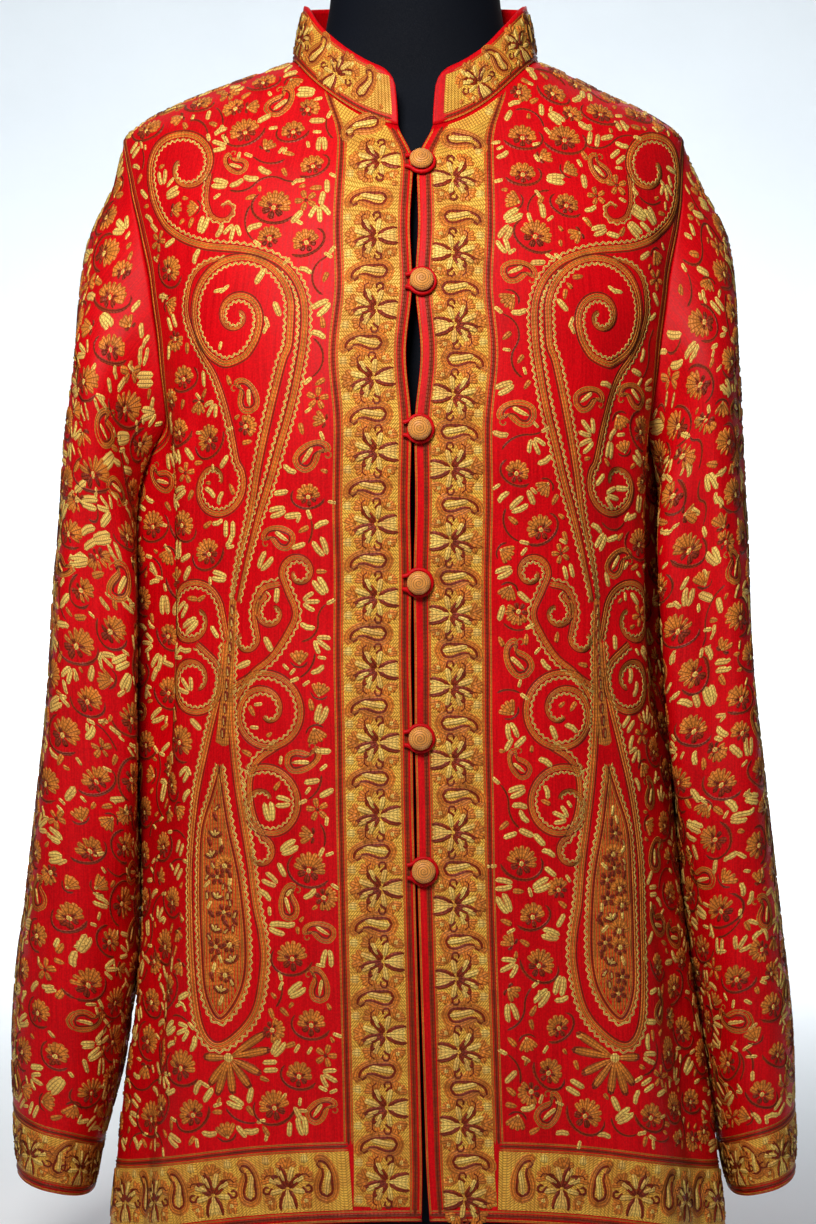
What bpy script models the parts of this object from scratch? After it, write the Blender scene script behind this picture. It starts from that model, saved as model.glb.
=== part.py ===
"""Stand-collared silk jacket on a limbless dress form.

The jacket is modelled as the pieces that it is cut from: two fronts, a back, two sleeves and a
collar, each a thin wall of cloth, with ball buttons and cord loops down the front edges. Metres,
+Z up, the wearer faces -Y, and the origin is on the floor under the middle of the form.
"""

import math

import bpy
import numpy as np

# Cloth and seams
CLOTH = 0.0018  # silk with its dense chain-stitch embroidery
SEAM = 0.0002  # each edge is pulled in this far from the seam line
FOLD_BACK = 0.0019  # the sleeve's stand-off where it doubles back under the arm

# Levels on the jacket
UNDERARM = 0.556
SHOULDER_TIP = 0.768
NECK_POINT = 0.821
FRONT_NECK = 0.767
BACK_NECK = 0.832
NECK_HALF_WIDTH = 0.083
SIDE_HEM = 0.030
FRONT_HEM_RISE = 0.030
BACK_HEM_RISE = 0.006
COLLAR_HEIGHT = 0.038
COLLAR_LEAN = math.radians(11)
COLLAR_CORNER = 0.011
COLLAR_PARTING = 0.004  # the front ends part this much further at the top
COLLAR_PARTING_REACH = 0.03

# Armhole, as turns round the body away from the side seam
ARMHOLE_FRONT_TURN = math.radians(24)
ARMHOLE_BACK_TURN = math.radians(23)
ARMHOLE_LOW_BIAS = 0.20

# Sleeve
CUFF_LEVEL = 0.064
CUFF_TILT = 0.007
CAP_SHARE = 0.12  # share of the sleeve's length in which the cap rounds over
SLEEVE_SQUARENESS = 0.90
EVEN_LEVEL = 0.66  # the sleeve's columns are spaced evenly round it at this level

# Mesh steps: rows run up the jacket, columns across it
LOWER_ROWS = 13
ARMHOLE_ROWS = 12
ACROSS = 12
SLEEVE_ROWS = 18
SLEEVE_ROW_CROWDING = 1.25
COLLAR_ROWS = 3

# Buttons and loops
BUTTON_RADIUS = 0.0075
BUTTON_RISE = 0.0058
BUTTON_BASE = 0.0034  # height of the button's back over the cloth
BUTTON_EDGE = 0.0016  # depth of its rounded edge behind the dome
BUTTON_BACK_SHARE = 0.86  # the flat back's share of the radius
BUTTON_DOME_ANGLES = (25, 48, 70)
BUTTON_SEGMENTS = 14
SHANK_RADIUS = 0.0017
LOOP_RADIUS = 0.0012
LOOP_REACH = 0.0048
LOOP_ROOT = -0.0068
LOOP_ROOT_SPREAD = 0.0046
LOOP_TURNS = (110, 75, 38, 0, -38, -75, -110)
CLEAR = 0.0005

SILK_RED = (0.60, 0.010, 0.030)
THREAD_GOLD = (0.62, 0.34, 0.06)
THREAD_OCHRE = (0.52, 0.20, 0.03)
FORM_BLACK = (0.010, 0.012, 0.018)


UP = np.array([0.0, 0.0, 1.0])


def table(names, rows):
    """Rows of numbers as a dictionary of named columns."""
    return dict(zip(names, np.array(rows, float).T))


# Cross-sections of the jacket's body. Squareness is the power of the oval: under 1 is boxier.
BODY = table(
    ("height", "half_width", "front", "back", "squareness"),
    (
        (0.000, 0.2070, 0.1370, 0.1360, 0.84),
        (0.110, 0.1955, 0.1340, 0.1320, 0.84),
        (0.200, 0.1850, 0.1310, 0.1270, 0.82),
        (0.290, 0.1740, 0.1270, 0.1190, 0.80),
        (0.370, 0.1675, 0.1240, 0.1110, 0.78),
        (0.430, 0.1640, 0.1240, 0.1080, 0.78),
        (0.500, 0.1620, 0.1290, 0.1120, 0.78),
        (0.560, 0.1650, 0.1330, 0.1200, 0.79),
        (0.620, 0.1780, 0.1290, 0.1260, 0.82),
        (0.680, 0.1880, 0.1170, 0.1240, 0.86),
        (0.730, 0.1915, 0.1000, 0.1140, 0.92),
        (0.768, 0.1900, 0.0790, 0.0980, 0.98),
        (0.783, 0.1730, 0.0720, 0.0910, 1.05),
        (0.800, 0.1370, 0.0660, 0.0840, 1.08),
        (0.815, 0.1000, 0.0620, 0.0770, 1.04),
        (0.821, 0.0830, 0.0600, 0.0740, 1.02),
        (0.832, 0.0550, 0.0570, 0.0680, 1.02),
        (0.840, 0.0450, 0.0550, 0.0640, 1.02),
    ),
)

# Half the gap between the two front edges, which meet at each button and part between them.
FRONT_GAP = table(
    ("height", "half_gap"),
    (
        (0.0500, 0.0030),
        (0.1000, 0.0012),
        (0.2830, 0.0007),
        (0.3250, 0.0009),
        (0.3680, 0.0007),
        (0.4200, 0.0011),
        (0.4680, 0.0007),
        (0.5200, 0.0016),
        (0.5660, 0.0009),
        (0.6150, 0.0047),
        (0.6610, 0.0010),
        (0.7000, 0.0026),
        (0.7410, 0.0012),
        (0.7670, 0.0115),
    ),
)

# How far the jacket stands to the wearer's left of the sleeves' middle, down the front and back
# middles and down the sides.
SWAY = table(
    ("height", "middle", "side"),
    (
        (0.000, 0.0170, 0.0110),
        (0.150, 0.0130, 0.0105),
        (0.300, 0.0090, 0.0080),
        (0.450, 0.0070, 0.0050),
        (0.700, 0.0080, 0.0040),
        (0.768, 0.0090, 0.0010),
        (0.795, 0.0090, 0.0010),
        (0.821, 0.0090, 0.0090),
        (0.910, 0.0090, 0.0090),
    ),
)

# Long folds of the body. Side is -1 for the wearer's right, +1 for the left and 0 for both.
BODY_FOLDS = table(
    ("side", "turn_deg", "spread_deg", "depth", "low", "high"),
    (
        (-1, 60, 8, 0.0070, 0.280, 0.640),
        (-1, 74, 8, -0.0120, 0.300, 0.620),
        (-1, 89, 11, 0.0165, 0.200, 0.740),
        (1, 60, 9, 0.0050, 0.320, 0.640),
        (1, 77, 8, -0.0075, 0.340, 0.640),
        (1, 90, 11, 0.0030, 0.200, 0.700),
        (0, 28, 11, -0.0040, 0.000, 0.420),
        (-1, 50, 9, 0.0055, -0.100, 0.330),
        (1, 46, 9, 0.0050, -0.100, 0.300),
        (0, 66, 8, -0.0065, -0.100, 0.300),
        (-1, 84, 8, 0.0050, -0.100, 0.240),
        (1, 82, 8, 0.0045, -0.100, 0.240),
        (0, 106, 9, -0.0055, -0.100, 0.400),
        (0, 124, 9, 0.0060, -0.100, 0.460),
        (0, 143, 9, -0.0055, -0.100, 0.420),
        (-1, 162, 9, 0.0050, -0.100, 0.500),
        (1, 160, 9, 0.0060, -0.100, 0.460),
        (0, 128, 9, -0.0045, 0.520, 0.740),
    ),
)

# Cross-sections of an empty sleeve hanging beside the body, flattened from side to side. The body
# sways to the wearer's left between them, so each side has its own distance to the inner edge.
SLEEVE = table(
    ("height", "inner_right", "outer_right", "inner_left", "outer_left", "front", "back"),
    (
        (0.040, 0.2130, 0.2570, 0.2270, 0.2650, -0.0500, 0.0560),
        (0.086, 0.2040, 0.2610, 0.2160, 0.2660, -0.0540, 0.0590),
        (0.150, 0.1880, 0.2640, 0.2050, 0.2650, -0.0600, 0.0640),
        (0.200, 0.1820, 0.2625, 0.1990, 0.2620, -0.0630, 0.0670),
        (0.260, 0.1800, 0.2560, 0.1910, 0.2560, -0.0660, 0.0690),
        (0.340, 0.1810, 0.2470, 0.1850, 0.2470, -0.0690, 0.0710),
        (0.430, 0.1835, 0.2370, 0.1800, 0.2370, -0.0710, 0.0730),
        (0.510, 0.1850, 0.2310, 0.1765, 0.2315, -0.0740, 0.0750),
        (0.560, 0.1830, 0.2270, 0.1765, 0.2290, -0.0760, 0.0780),
        (0.620, 0.1820, 0.2200, 0.1800, 0.2265, -0.0770, 0.0790),
        (0.700, 0.1860, 0.2140, 0.1860, 0.2230, -0.0720, 0.0740),
        (0.740, 0.1880, 0.2010, 0.1920, 0.2120, -0.0600, 0.0620),
        (0.780, 0.1880, 0.1930, 0.1920, 0.1990, -0.0400, 0.0420),
    ),
)

# Long folds of the sleeves. Turn is 0 on the outside of the arm, 90 in front, 180 by the body.
SLEEVE_FOLDS = table(
    ("side", "turn_deg", "spread_deg", "depth", "low", "high"),
    (
        (-1, 138, 16, 0.0130, 0.240, 0.570),
        (-1, 92, 17, -0.0050, 0.260, 0.620),
        (-1, 58, 16, 0.0030, 0.240, 0.560),
        (-1, 300, 20, -0.0060, 0.120, 0.520),
        (1, 136, 16, 0.0150, 0.240, 0.620),
        (1, 98, 17, -0.0060, 0.300, 0.620),
        (1, 60, 18, 0.0030, 0.260, 0.560),
        (1, 292, 20, -0.0070, 0.140, 0.500),
        (0, 20, 17, -0.0030, 0.160, 0.480),
    ),
)

# Cross-sections of the dress form, which fills the jacket only at the shoulders.
FORM = table(
    ("height", "half_width", "front", "back", "squareness"),
    (
        (0.000, 0.1500, 0.0980, 0.0980, 0.92),
        (0.070, 0.1580, 0.1040, 0.1050, 0.92),
        (0.160, 0.1560, 0.1040, 0.1050, 0.92),
        (0.270, 0.1400, 0.0940, 0.0940, 0.94),
        (0.390, 0.1220, 0.0860, 0.0820, 0.96),
        (0.480, 0.1340, 0.0960, 0.0900, 0.96),
        (0.560, 0.1480, 0.1080, 0.1020, 0.95),
        (0.640, 0.1600, 0.1040, 0.1060, 0.94),
        (0.710, 0.1720, 0.0880, 0.1000, 0.94),
        (0.750, 0.1790, 0.0700, 0.0860, 0.98),
        (0.768, 0.1770, 0.0640, 0.0780, 1.00),
        (0.783, 0.1628, 0.0560, 0.0670, 1.06),
        (0.800, 0.1258, 0.0500, 0.0600, 1.06),
        (0.815, 0.0800, 0.0460, 0.0550, 1.02),
        (0.840, 0.0600, 0.0430, 0.0510, 1.00),
        (0.880, 0.0570, 0.0420, 0.0500, 1.00),
        (0.902, 0.0530, 0.0390, 0.0470, 1.00),
        (0.910, 0.0430, 0.0310, 0.0380, 1.00),
    ),
)
FORM_RING = 28
FORM_LEVELS = (
    0.0, 0.07, 0.16, 0.22, 0.28, 0.34, 0.39, 0.44, 0.5, 0.56, 0.61, 0.66, 0.705, 0.735,
    0.755, 0.768, 0.776, 0.784, 0.792, 0.8, 0.81, 0.822, 0.842, 0.875, 0.902, 0.91,
)

# Buttons down the front, each on the wearer's left front and held by a loop from the right one.
BUTTONS = table(
    ("height", "x"),
    (
        (0.741, 0.0040),
        (0.661, 0.0052),
        (0.566, 0.0042),
        (0.468, 0.0040),
        (0.368, 0.0042),
        (0.283, 0.0048),
    ),
)


def through(knots, values, at):
    """A smooth curve through the values that never overshoots between them."""
    at = np.clip(at, knots[0], knots[-1])
    steps = np.diff(knots)
    slopes = np.diff(values) / steps
    both = slopes[1:] * slopes[:-1]
    mean = np.where(both > 0, slopes[1:] + slopes[:-1], 1.0)
    tangents = np.concatenate(([slopes[0]], np.where(both > 0, 2 * both / mean, 0.0), [slopes[-1]]))
    i = np.clip(np.searchsorted(knots, at) - 1, 0, len(steps) - 1)
    u = (at - knots[i]) / steps[i]
    rise = (3 - 2 * u) * u * u
    start = u * (1 - u) ** 2 * steps[i] * tangents[i]
    end = -u * u * (1 - u) * steps[i] * tangents[i + 1]
    return values[i] * (1 - rise) + values[i + 1] * rise + start + end


def smooth(value):
    """0 below 0, 1 above 1, and an even ramp between."""
    value = np.clip(value, 0, 1)
    return value * value * (3 - 2 * value)


def unit(vectors):
    """The vectors, each made one long."""
    return vectors / np.maximum(np.linalg.norm(vectors, axis=-1, keepdims=True), 1e-12)


def fold_depth(folds, turn, height, side):
    """How far the folds push the cloth out at a turn and a height. Each fades out at its ends."""
    depth = np.zeros(np.broadcast(turn, height).shape)
    for f_side, middle, spread, push, low, high in zip(*folds.values()):
        if f_side not in (0, side):
            continue
        away = (np.degrees(turn) - middle + 180) % 360 - 180
        along = (height - low) / (high - low)
        fade = smooth(along / 0.35) * smooth((1 - along) / 0.35)
        depth = depth + push * np.exp(-((away / spread) ** 2)) * fade
    return depth


def oval(sections, turn, height):
    """x, y and the outward direction at a turn from the front, on stacked ovals."""

    def outside(x, y, z):
        width = through(sections["height"], sections["half_width"], z)
        depth = through(sections["height"], np.where(front, sections["front"], sections["back"]), z)
        power = 2 / through(sections["height"], sections["squareness"], z)
        return np.abs(x / width) ** power + np.abs(y / depth) ** power

    turn, height = np.broadcast_arrays(np.asarray(turn, float), np.asarray(height, float))
    front_half = np.cos(turn) >= 0
    x, y = np.zeros(turn.shape), np.zeros(turn.shape)
    normal = np.zeros(turn.shape + (3,))
    step = 1e-5
    for front in (True, False):
        here = front_half == front
        t, z = turn[here], height[here]
        squareness = through(sections["height"], sections["squareness"], z)
        width = through(sections["height"], sections["half_width"], z)
        depth = through(sections["height"], sections["front" if front else "back"], z)
        px = width * np.abs(np.sin(t)) ** squareness
        py = (-depth if front else depth) * np.abs(np.cos(t)) ** squareness
        x[here], y[here] = px, py
        normal[here] = np.stack(
            [
                outside(px + step, py, z) - outside(px - step, py, z),
                outside(px, py + step, z) - outside(px, py - step, z),
                outside(px, py, z + step) - outside(px, py, z - step),
            ],
            axis=-1,
        )
    return x, y, unit(normal)


def body_surface(turn, height, side):
    """Points of the jacket's outer face, and its outward directions."""
    x, y, normal = oval(BODY, turn, height)
    flat = unit(normal * np.array([1.0, 1.0, 0.0]))
    push = fold_depth(BODY_FOLDS, turn, height, side)
    points = np.stack([x, y, np.broadcast_to(height, x.shape)], axis=-1) + flat * push[..., None]
    mirror = np.array([side, 1.0, 1.0])
    points *= mirror
    points[..., 0] += sway(turn, height)
    return points, normal * mirror


def sway(turn, height):
    """How far the body stands to the wearer's left at a turn and a height."""
    middle, side = (through(SWAY["height"], SWAY[name], height) for name in ("middle", "side"))
    return middle + (side - middle) * np.sin(turn) ** 2


def hem_level(turn):
    """The hem rises towards the front edges, and a little towards the middle of the back."""
    rise = np.where(np.cos(turn) > 0, FRONT_HEM_RISE, BACK_HEM_RISE)
    return SIDE_HEM + rise * np.cos(turn) ** 2


def turn_at(x, height):
    """The turn at which the body's oval is x from the middle."""
    width = through(BODY["height"], BODY["half_width"], height)
    squareness = through(BODY["height"], BODY["squareness"], height)
    return np.arcsin(np.clip(x / width, 0, 1) ** (1 / squareness))


def front_edge_turn(height):
    """The turn of the front edge, which stands half the gap from the middle."""
    return turn_at(through(FRONT_GAP["height"], FRONT_GAP["half_gap"], height), height)


def evenly(path, count):
    """Turns and heights at equal steps of cloth along a path of turns and heights."""
    points, _ = body_surface(path[:, 0], path[:, 1], 1)
    along = np.concatenate([[0], np.cumsum(np.linalg.norm(np.diff(points, axis=0), axis=1))])
    wanted = np.linspace(0, along[-1], count + 1)
    return np.stack([np.interp(wanted, along, path[:, k]) for k in (0, 1)], axis=1)


def neckline(angle, back):
    """Turn and height on the neckline, at an angle round the neck from the middle to the side."""
    middle = BACK_NECK if back else FRONT_NECK
    height = middle + (NECK_POINT - middle) * np.sin(angle) ** 2
    turn = turn_at(NECK_HALF_WIDTH * np.sin(angle), height)
    return np.stack([math.pi - turn if back else turn, height], axis=1)


def armhole(back, count):
    """Turns and heights from the underarm up to the shoulder tip."""
    sweep = np.linspace(0, math.pi, 200)
    reach = np.sin(sweep) * (1 + ARMHOLE_LOW_BIAS * np.cos(sweep))
    turn = ARMHOLE_BACK_TURN if back else -ARMHOLE_FRONT_TURN
    middle, radius = (SHOULDER_TIP + UNDERARM) / 2, (SHOULDER_TIP - UNDERARM) / 2
    path = np.stack([math.pi / 2 + turn * reach, middle - radius * np.cos(sweep)], axis=1)
    return evenly(path, count)


def plain_point(turn, height):
    """A point on the body's ovals, without sway or folds."""
    x, y, _ = oval(BODY, turn, height)
    return np.stack([x, y, np.broadcast_to(height, x.shape)], axis=-1)


def turn_of(points):
    """The turn of a point that lies near the body's ovals."""
    x, y, z = np.moveaxis(points, -1, 0)
    names = ("half_width", "front", "back", "squareness")
    width, front, back, squareness = (through(BODY["height"], BODY[name], z) for name in names)
    across = np.maximum(x / width, 0) ** (1 / squareness)
    along = (np.abs(y) / np.where(y < 0, front, back)) ** (1 / squareness)
    turn = np.arctan2(across, along)
    return np.where(y > 0, math.pi - turn, turn)


def patch(bottom, top, inner, outer):
    """Turns and heights inside four edges that share their corners, evenly spread over the cloth."""
    bottom, top, inner, outer = (plain_point(edge[:, 0], edge[:, 1]) for edge in (bottom, top, inner, outer))
    s = np.linspace(0, 1, len(bottom))[None, :, None]
    t = np.linspace(0, 1, len(inner))[:, None, None]
    across = (1 - t) * bottom[None] + t * top[None]
    upward = (1 - s) * inner[:, None] + s * outer[:, None]
    corners = (1 - s) * ((1 - t) * bottom[0] + t * top[0]) + s * ((1 - t) * bottom[-1] + t * top[-1])
    points = across + upward - corners
    return np.stack([turn_of(points), points[..., 2]], axis=-1)


def half_panel(back):
    """Turns and heights of half the body's front or back: rows go up, columns from the middle out."""
    side_turn = math.pi / 2
    middle_turn = (lambda z: np.full(np.shape(z), math.pi)) if back else front_edge_turn
    middle_hem = float(hem_level(math.pi if back else 0.0))
    fine = np.linspace(0, 1, 160)
    lower = []
    for share in np.linspace(0, 1, LOWER_ROWS + 1):
        start = float(middle_turn(np.array(middle_hem * (1 - share) + UNDERARM * share)))
        turns = start + (side_turn - start) * fine
        heights = hem_level(turns) * (1 - share) + UNDERARM * share
        lower.append(evenly(np.stack([turns, heights], axis=1), ACROSS))
    middle_top = BACK_NECK if back else FRONT_NECK
    rise = np.linspace(UNDERARM, middle_top, ARMHOLE_ROWS + 1)
    inner = np.stack([middle_turn(rise), rise], axis=1)
    first = 0.0 if back else math.asin(FRONT_GAP["half_gap"][-1] / NECK_HALF_WIDTH)
    neck = evenly(neckline(np.linspace(first, math.pi / 2, 160), back), ACROSS // 2)
    ridge = np.linspace(NECK_POINT, SHOULDER_TIP, 160)
    seam = evenly(np.stack([np.full(160, side_turn), ridge], axis=1), ACROSS // 2)
    inner[-1] = neck[0]
    upper = patch(lower[-1], np.concatenate([neck, seam[1:]]), inner, armhole(back, ARMHOLE_ROWS))
    return np.concatenate([np.array(lower[:-1]), upper])


def pulled_in(points, normals, edge):
    """The points with one edge row or column moved in from the seam line, along the cloth."""
    axis, end, next_one = {"out": (1, -1, -2), "top": (0, -1, -2)}[edge]
    moved = points.copy()
    rows, facing = np.moveaxis(moved, axis, 0), np.moveaxis(normals, axis, 0)[end]
    inward = rows[next_one] - rows[end]
    for way in (facing, unit(np.gradient(rows[end], axis=0))):
        inward -= way * (inward * way).sum(axis=1, keepdims=True)
    rows[end] += SEAM * unit(inward)
    return moved


def seamed(points, normals):
    """The points with the side seam, armhole, shoulder and neck edges all moved in."""
    return pulled_in(pulled_in(points, normals, "out"), normals, "top")


def cloth_wall(name, outer, normals, finish, tube=False):
    """One closed wall of cloth under a grid of outer points. A tube joins its last column to its first."""
    rows, columns = outer.shape[:2]
    inner = outer - normals * CLOTH
    vertices = np.concatenate([outer.reshape(-1, 3), inner.reshape(-1, 3)])
    layer = rows * columns
    faces = []
    last = columns if tube else columns - 1
    for r in range(rows - 1):
        for c in range(last):
            a, b = r * columns + c, r * columns + (c + 1) % columns
            faces.append((a, b, b + columns, a + columns))
            faces.append((layer + a, layer + a + columns, layer + b + columns, layer + b))
    for r, order in ((0, 1), (rows - 1, -1)):
        for c in range(last):
            a, b = r * columns + c, r * columns + (c + 1) % columns
            faces.append((a, layer + a, layer + b, b)[::order])
    if not tube:
        for c, order in ((0, -1), (columns - 1, 1)):
            for r in range(rows - 1):
                a, b = r * columns + c, (r + 1) * columns + c
                faces.append((a, layer + a, layer + b, b)[::order])
    return solid(name, vertices, faces, finish)


def solid(name, vertices, faces, finish):
    """A mesh object whose faces point outwards."""
    mesh = bpy.data.meshes.new(name)
    mesh.from_pydata([tuple(v) for v in vertices], [], faces)
    corners = np.array(vertices, float)
    volume = sum(
        np.dot(corners[f[0]], np.cross(corners[f[i]], corners[f[i + 1]]))
        for f in faces
        for i in range(1, len(f) - 1)
    )
    if volume < 0:
        mesh.flip_normals()
    mesh.materials.append(finish)
    mesh.shade_smooth()
    mesh.set_sharp_from_angle(angle=math.radians(50))
    made = bpy.data.objects.new(name, mesh)
    bpy.context.scene.collection.objects.link(made)
    return made


def material(name, colour, roughness, sheen=0.0):
    """A plain finish for one kind of piece."""
    made = bpy.data.materials.new(name)
    made.use_nodes = True
    shader = made.node_tree.nodes["Principled BSDF"]
    shader.inputs["Base Color"].default_value = (*colour, 1)
    shader.inputs["Roughness"].default_value = roughness
    shader.inputs["Metallic"].default_value = 0.0
    shader.inputs["Sheen Weight"].default_value = sheen
    return made


def build_fronts(silk):
    """The wearer's right and left fronts, from the front edge to the side seam."""
    grid = half_panel(back=False)
    for name, side in (("front_right", -1), ("front_left", 1)):
        points, normals = body_surface(grid[..., 0], grid[..., 1], side)
        cloth_wall(name, seamed(points, normals), normals, silk)


def build_back(silk):
    """The back, in one piece from side seam to side seam."""
    grid = half_panel(back=True)
    right = body_surface(grid[..., 0], grid[..., 1], -1)
    left = body_surface(grid[..., 0], grid[..., 1], 1)
    halves = []
    for points, normals in (right, left):
        halves.append((seamed(points, normals), normals))
    middle = (halves[0][0][:, :1] + halves[1][0][:, :1]) / 2
    points = np.concatenate([halves[0][0][:, :0:-1], middle, halves[1][0][:, 1:]], axis=1)
    normals = np.concatenate([halves[0][1][:, :0:-1], halves[1][1]], axis=1)
    cloth_wall("back", points, normals, silk)


def armhole_ring(side):
    """The armhole from the shoulder tip down the front and up the back, with the cloth's directions.

    Also the direction, in the cloth's surface, that points away from the body's panels."""
    rings = []
    for back in (False, True):
        grid = half_panel(back)[LOWER_ROWS:]
        points, normals = body_surface(grid[..., 0], grid[..., 1], side)
        ring = (points[:, -1], normals[:, -1], unit(points[:, -1] - points[:, -2]))
        rings.append(ring)
    down, up = (slice(None, None, -1), slice(1, -1))
    ring = [np.concatenate([f[down], b[up]]) for f, b in zip(*rings)]
    points, normals, away = ring
    along = unit(np.roll(points, -1, axis=0) - np.roll(points, 1, axis=0))
    edge_way = unit(np.cross(along, normals))
    return points, normals, edge_way * np.sign((edge_way * away).sum())


def sleeve_section(turn, height, side):
    """Points of a hanging sleeve at a turn from the outside of the arm towards the front."""
    arm = "left" if side > 0 else "right"
    names = (f"inner_{arm}", f"outer_{arm}", "front", "back")
    inner, outer, front, back = (through(SLEEVE["height"], SLEEVE[name], height) for name in names)
    cosine, sine = np.cos(turn), np.sin(turn)
    out_x = np.sign(cosine) * np.abs(cosine) ** SLEEVE_SQUARENESS
    out_y = -np.sign(sine) * np.abs(sine) ** SLEEVE_SQUARENESS
    push = fold_depth(SLEEVE_FOLDS, turn, height, side)
    x = (inner + outer) / 2 + out_x * ((outer - inner) / 2 + push)
    y = (front + back) / 2 + out_y * ((back - front) / 2 + push)
    return np.stack([side * x, y, np.broadcast_to(height, x.shape)], axis=-1)


def sleeve_turns(count):
    """Turns at equal steps of cloth round the sleeve, the first outside the arm."""
    fine = np.linspace(0, 2 * math.pi, 721)
    points = sleeve_section(fine, np.full(721, EVEN_LEVEL), 1)
    along = np.concatenate([[0], np.cumsum(np.linalg.norm(np.diff(points, axis=0), axis=1))])
    half_way = np.interp(math.pi, fine, along)
    first = np.linspace(0, half_way, count // 2 + 1)
    second = np.linspace(half_way, along[-1], count // 2 + 1)[1:-1]
    return np.interp(np.concatenate([first, second]), along, fine)


def sleeve_grid(side):
    """The sleeve's outer points in rings from the armhole to the cuff, and the way out of the armhole."""
    points, normals, away = armhole_ring(side)
    turns = sleeve_turns(len(points))
    cuff = CUFF_LEVEL + CUFF_TILT * np.cos(turns)
    rings = []
    for share in np.linspace(0, 1, SLEEVE_ROWS + 1) ** SLEEVE_ROW_CROWDING:
        heights = points[:, 2] * (1 - share) + cuff * share
        hanging = sleeve_section(turns, heights, side)
        eased = 1 - (1 - min(share / CAP_SHARE, 1)) ** 2
        ring = points * (1 - eased) + hanging * eased
        ring[:, 2] = heights
        rings.append(ring)
    grid = np.array(rings)
    leaving = unit(grid[1] - grid[0])
    doubled = np.maximum(-(leaving * away).sum(axis=1, keepdims=True), 0)
    grid[0] += away * SEAM + normals * FOLD_BACK * doubled
    return grid, away


def tube_normals(grid):
    """Outward directions of a tube's grid of points, taken from its neighbours."""
    across = np.roll(grid, -1, axis=1) - np.roll(grid, 1, axis=1)
    normals = unit(np.cross(across, np.gradient(grid, axis=0)))
    return normals * np.sign(((grid - grid.mean(axis=1, keepdims=True)) * normals).sum())


def build_sleeves(silk):
    """Two one-piece sleeves, open at the armhole and the cuff."""
    for name, side in (("sleeve_right", -1), ("sleeve_left", 1)):
        grid, away = sleeve_grid(side)
        normals = tube_normals(grid)
        over = np.maximum((normals[0] * away).sum(axis=1, keepdims=True), 0)
        normals[0] = unit(normals[0] - over * away)
        cloth_wall(name, grid, normals, silk, tube=True)


def neck_ring():
    """The neckline from the wearer's right front edge, round the back, to the left front edge."""
    front, back = half_panel(False)[-1, : ACROSS // 2 + 1], half_panel(True)[-1, : ACROSS // 2 + 1]
    parts = []
    for side in (-1, 1):
        f = body_surface(front[:, 0], front[:, 1], side)[0]
        b = body_surface(back[:, 0], back[:, 1], side)[0]
        half = np.concatenate([f, b[-2::-1]])
        parts.append(half if side < 0 else half[-2::-1])
    return np.concatenate(parts)


def build_collar(silk):
    """The stand collar, which leans in towards the neck and has rounded front corners."""
    ring = neck_ring()
    thirds = np.array([[0.0], [1 / 3], [2 / 3]])
    first = ring[0] + (ring[1] - ring[0]) * thirds
    last = ring[-1] + (ring[-2] - ring[-1]) * thirds
    ring = np.concatenate([first, ring[1:-1], last[::-1]])
    along = unit(np.gradient(ring, axis=0))
    outward = unit(np.cross(along, UP))
    outward *= np.sign((outward * ring).sum(axis=1, keepdims=True))
    length = np.concatenate([[0], np.cumsum(np.linalg.norm(np.diff(ring, axis=0), axis=1))])
    from_end = np.minimum(length, length[-1] - length)
    short = np.clip(1 - from_end / COLLAR_CORNER, 0, 1)
    height = COLLAR_HEIGHT - COLLAR_CORNER * (1 - np.sqrt(1 - short**2))
    up = UP * math.cos(COLLAR_LEAN) - outward * math.sin(COLLAR_LEAN)
    share = np.linspace(0, 1, COLLAR_ROWS + 1)[:, None]
    rise = (2 * SEAM + share * height[None])[..., None]
    grid = ring[None] + rise * up[None]
    sideways = np.sign(ring[:, 0]) * np.exp(-from_end / COLLAR_PARTING_REACH)
    grid[..., 0] += COLLAR_PARTING * share**1.5 * sideways
    cloth_wall("collar", grid, np.repeat(outward[None], len(share), axis=0), silk)


def front_frame(x, height):
    """A point on the front's outer face near the front edge, with its right, up and outward ways."""
    side = 1 if x >= 0 else -1

    def at(px, pz):
        return body_surface(turn_at(abs(px), pz), np.array(pz), side)[0].reshape(3)

    step = 0.002
    here = at(x, height)
    right = unit(at(x + step * side, height) - here) * side
    up = unit(at(x, height + step) - at(x, height - step))
    out = unit(np.cross(right, up))
    return here, unit(np.cross(up, out)), up, out


def build_buttons(thread):
    """Domed ball buttons, each with a shank that stands on the wearer's left front."""
    profile = [(0.0, CLEAR), (SHANK_RADIUS, CLEAR), (SHANK_RADIUS, BUTTON_BASE)]
    edge = BUTTON_BASE + BUTTON_EDGE
    profile += [(BUTTON_RADIUS * BUTTON_BACK_SHARE, BUTTON_BASE), (BUTTON_RADIUS, edge)]
    for angle in np.radians(BUTTON_DOME_ANGLES):
        profile.append((BUTTON_RADIUS * math.cos(angle), edge + (BUTTON_RISE - BUTTON_EDGE) * math.sin(angle)))
    profile.append((0.0, BUTTON_BASE + BUTTON_RISE))
    segments = BUTTON_SEGMENTS
    for index, (height, x) in enumerate(zip(BUTTONS["height"], BUTTONS["x"]), 1):
        here, right, up, out = front_frame(x, height)
        vertices, faces = [], []
        for radius, lift in profile:
            count = segments if radius else 1
            for k in range(count):
                angle = 2 * math.pi * k / segments
                vertices.append(here + out * lift + radius * (right * math.cos(angle) + up * math.sin(angle)))
        starts = np.cumsum([0] + [segments if radius else 1 for radius, _ in profile])
        for k in range(segments):
            n = (k + 1) % segments
            faces.append((0, starts[1] + n, starts[1] + k))
            for ring in range(1, len(profile) - 2):
                low, high = starts[ring], starts[ring + 1]
                faces.append((low + k, low + n, high + n, high + k))
            faces.append((starts[-3] + k, starts[-3] + n, starts[-2]))
        solid(f"button_{index}", vertices, [tuple(int(v) for v in f) for f in faces], thread)


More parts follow.
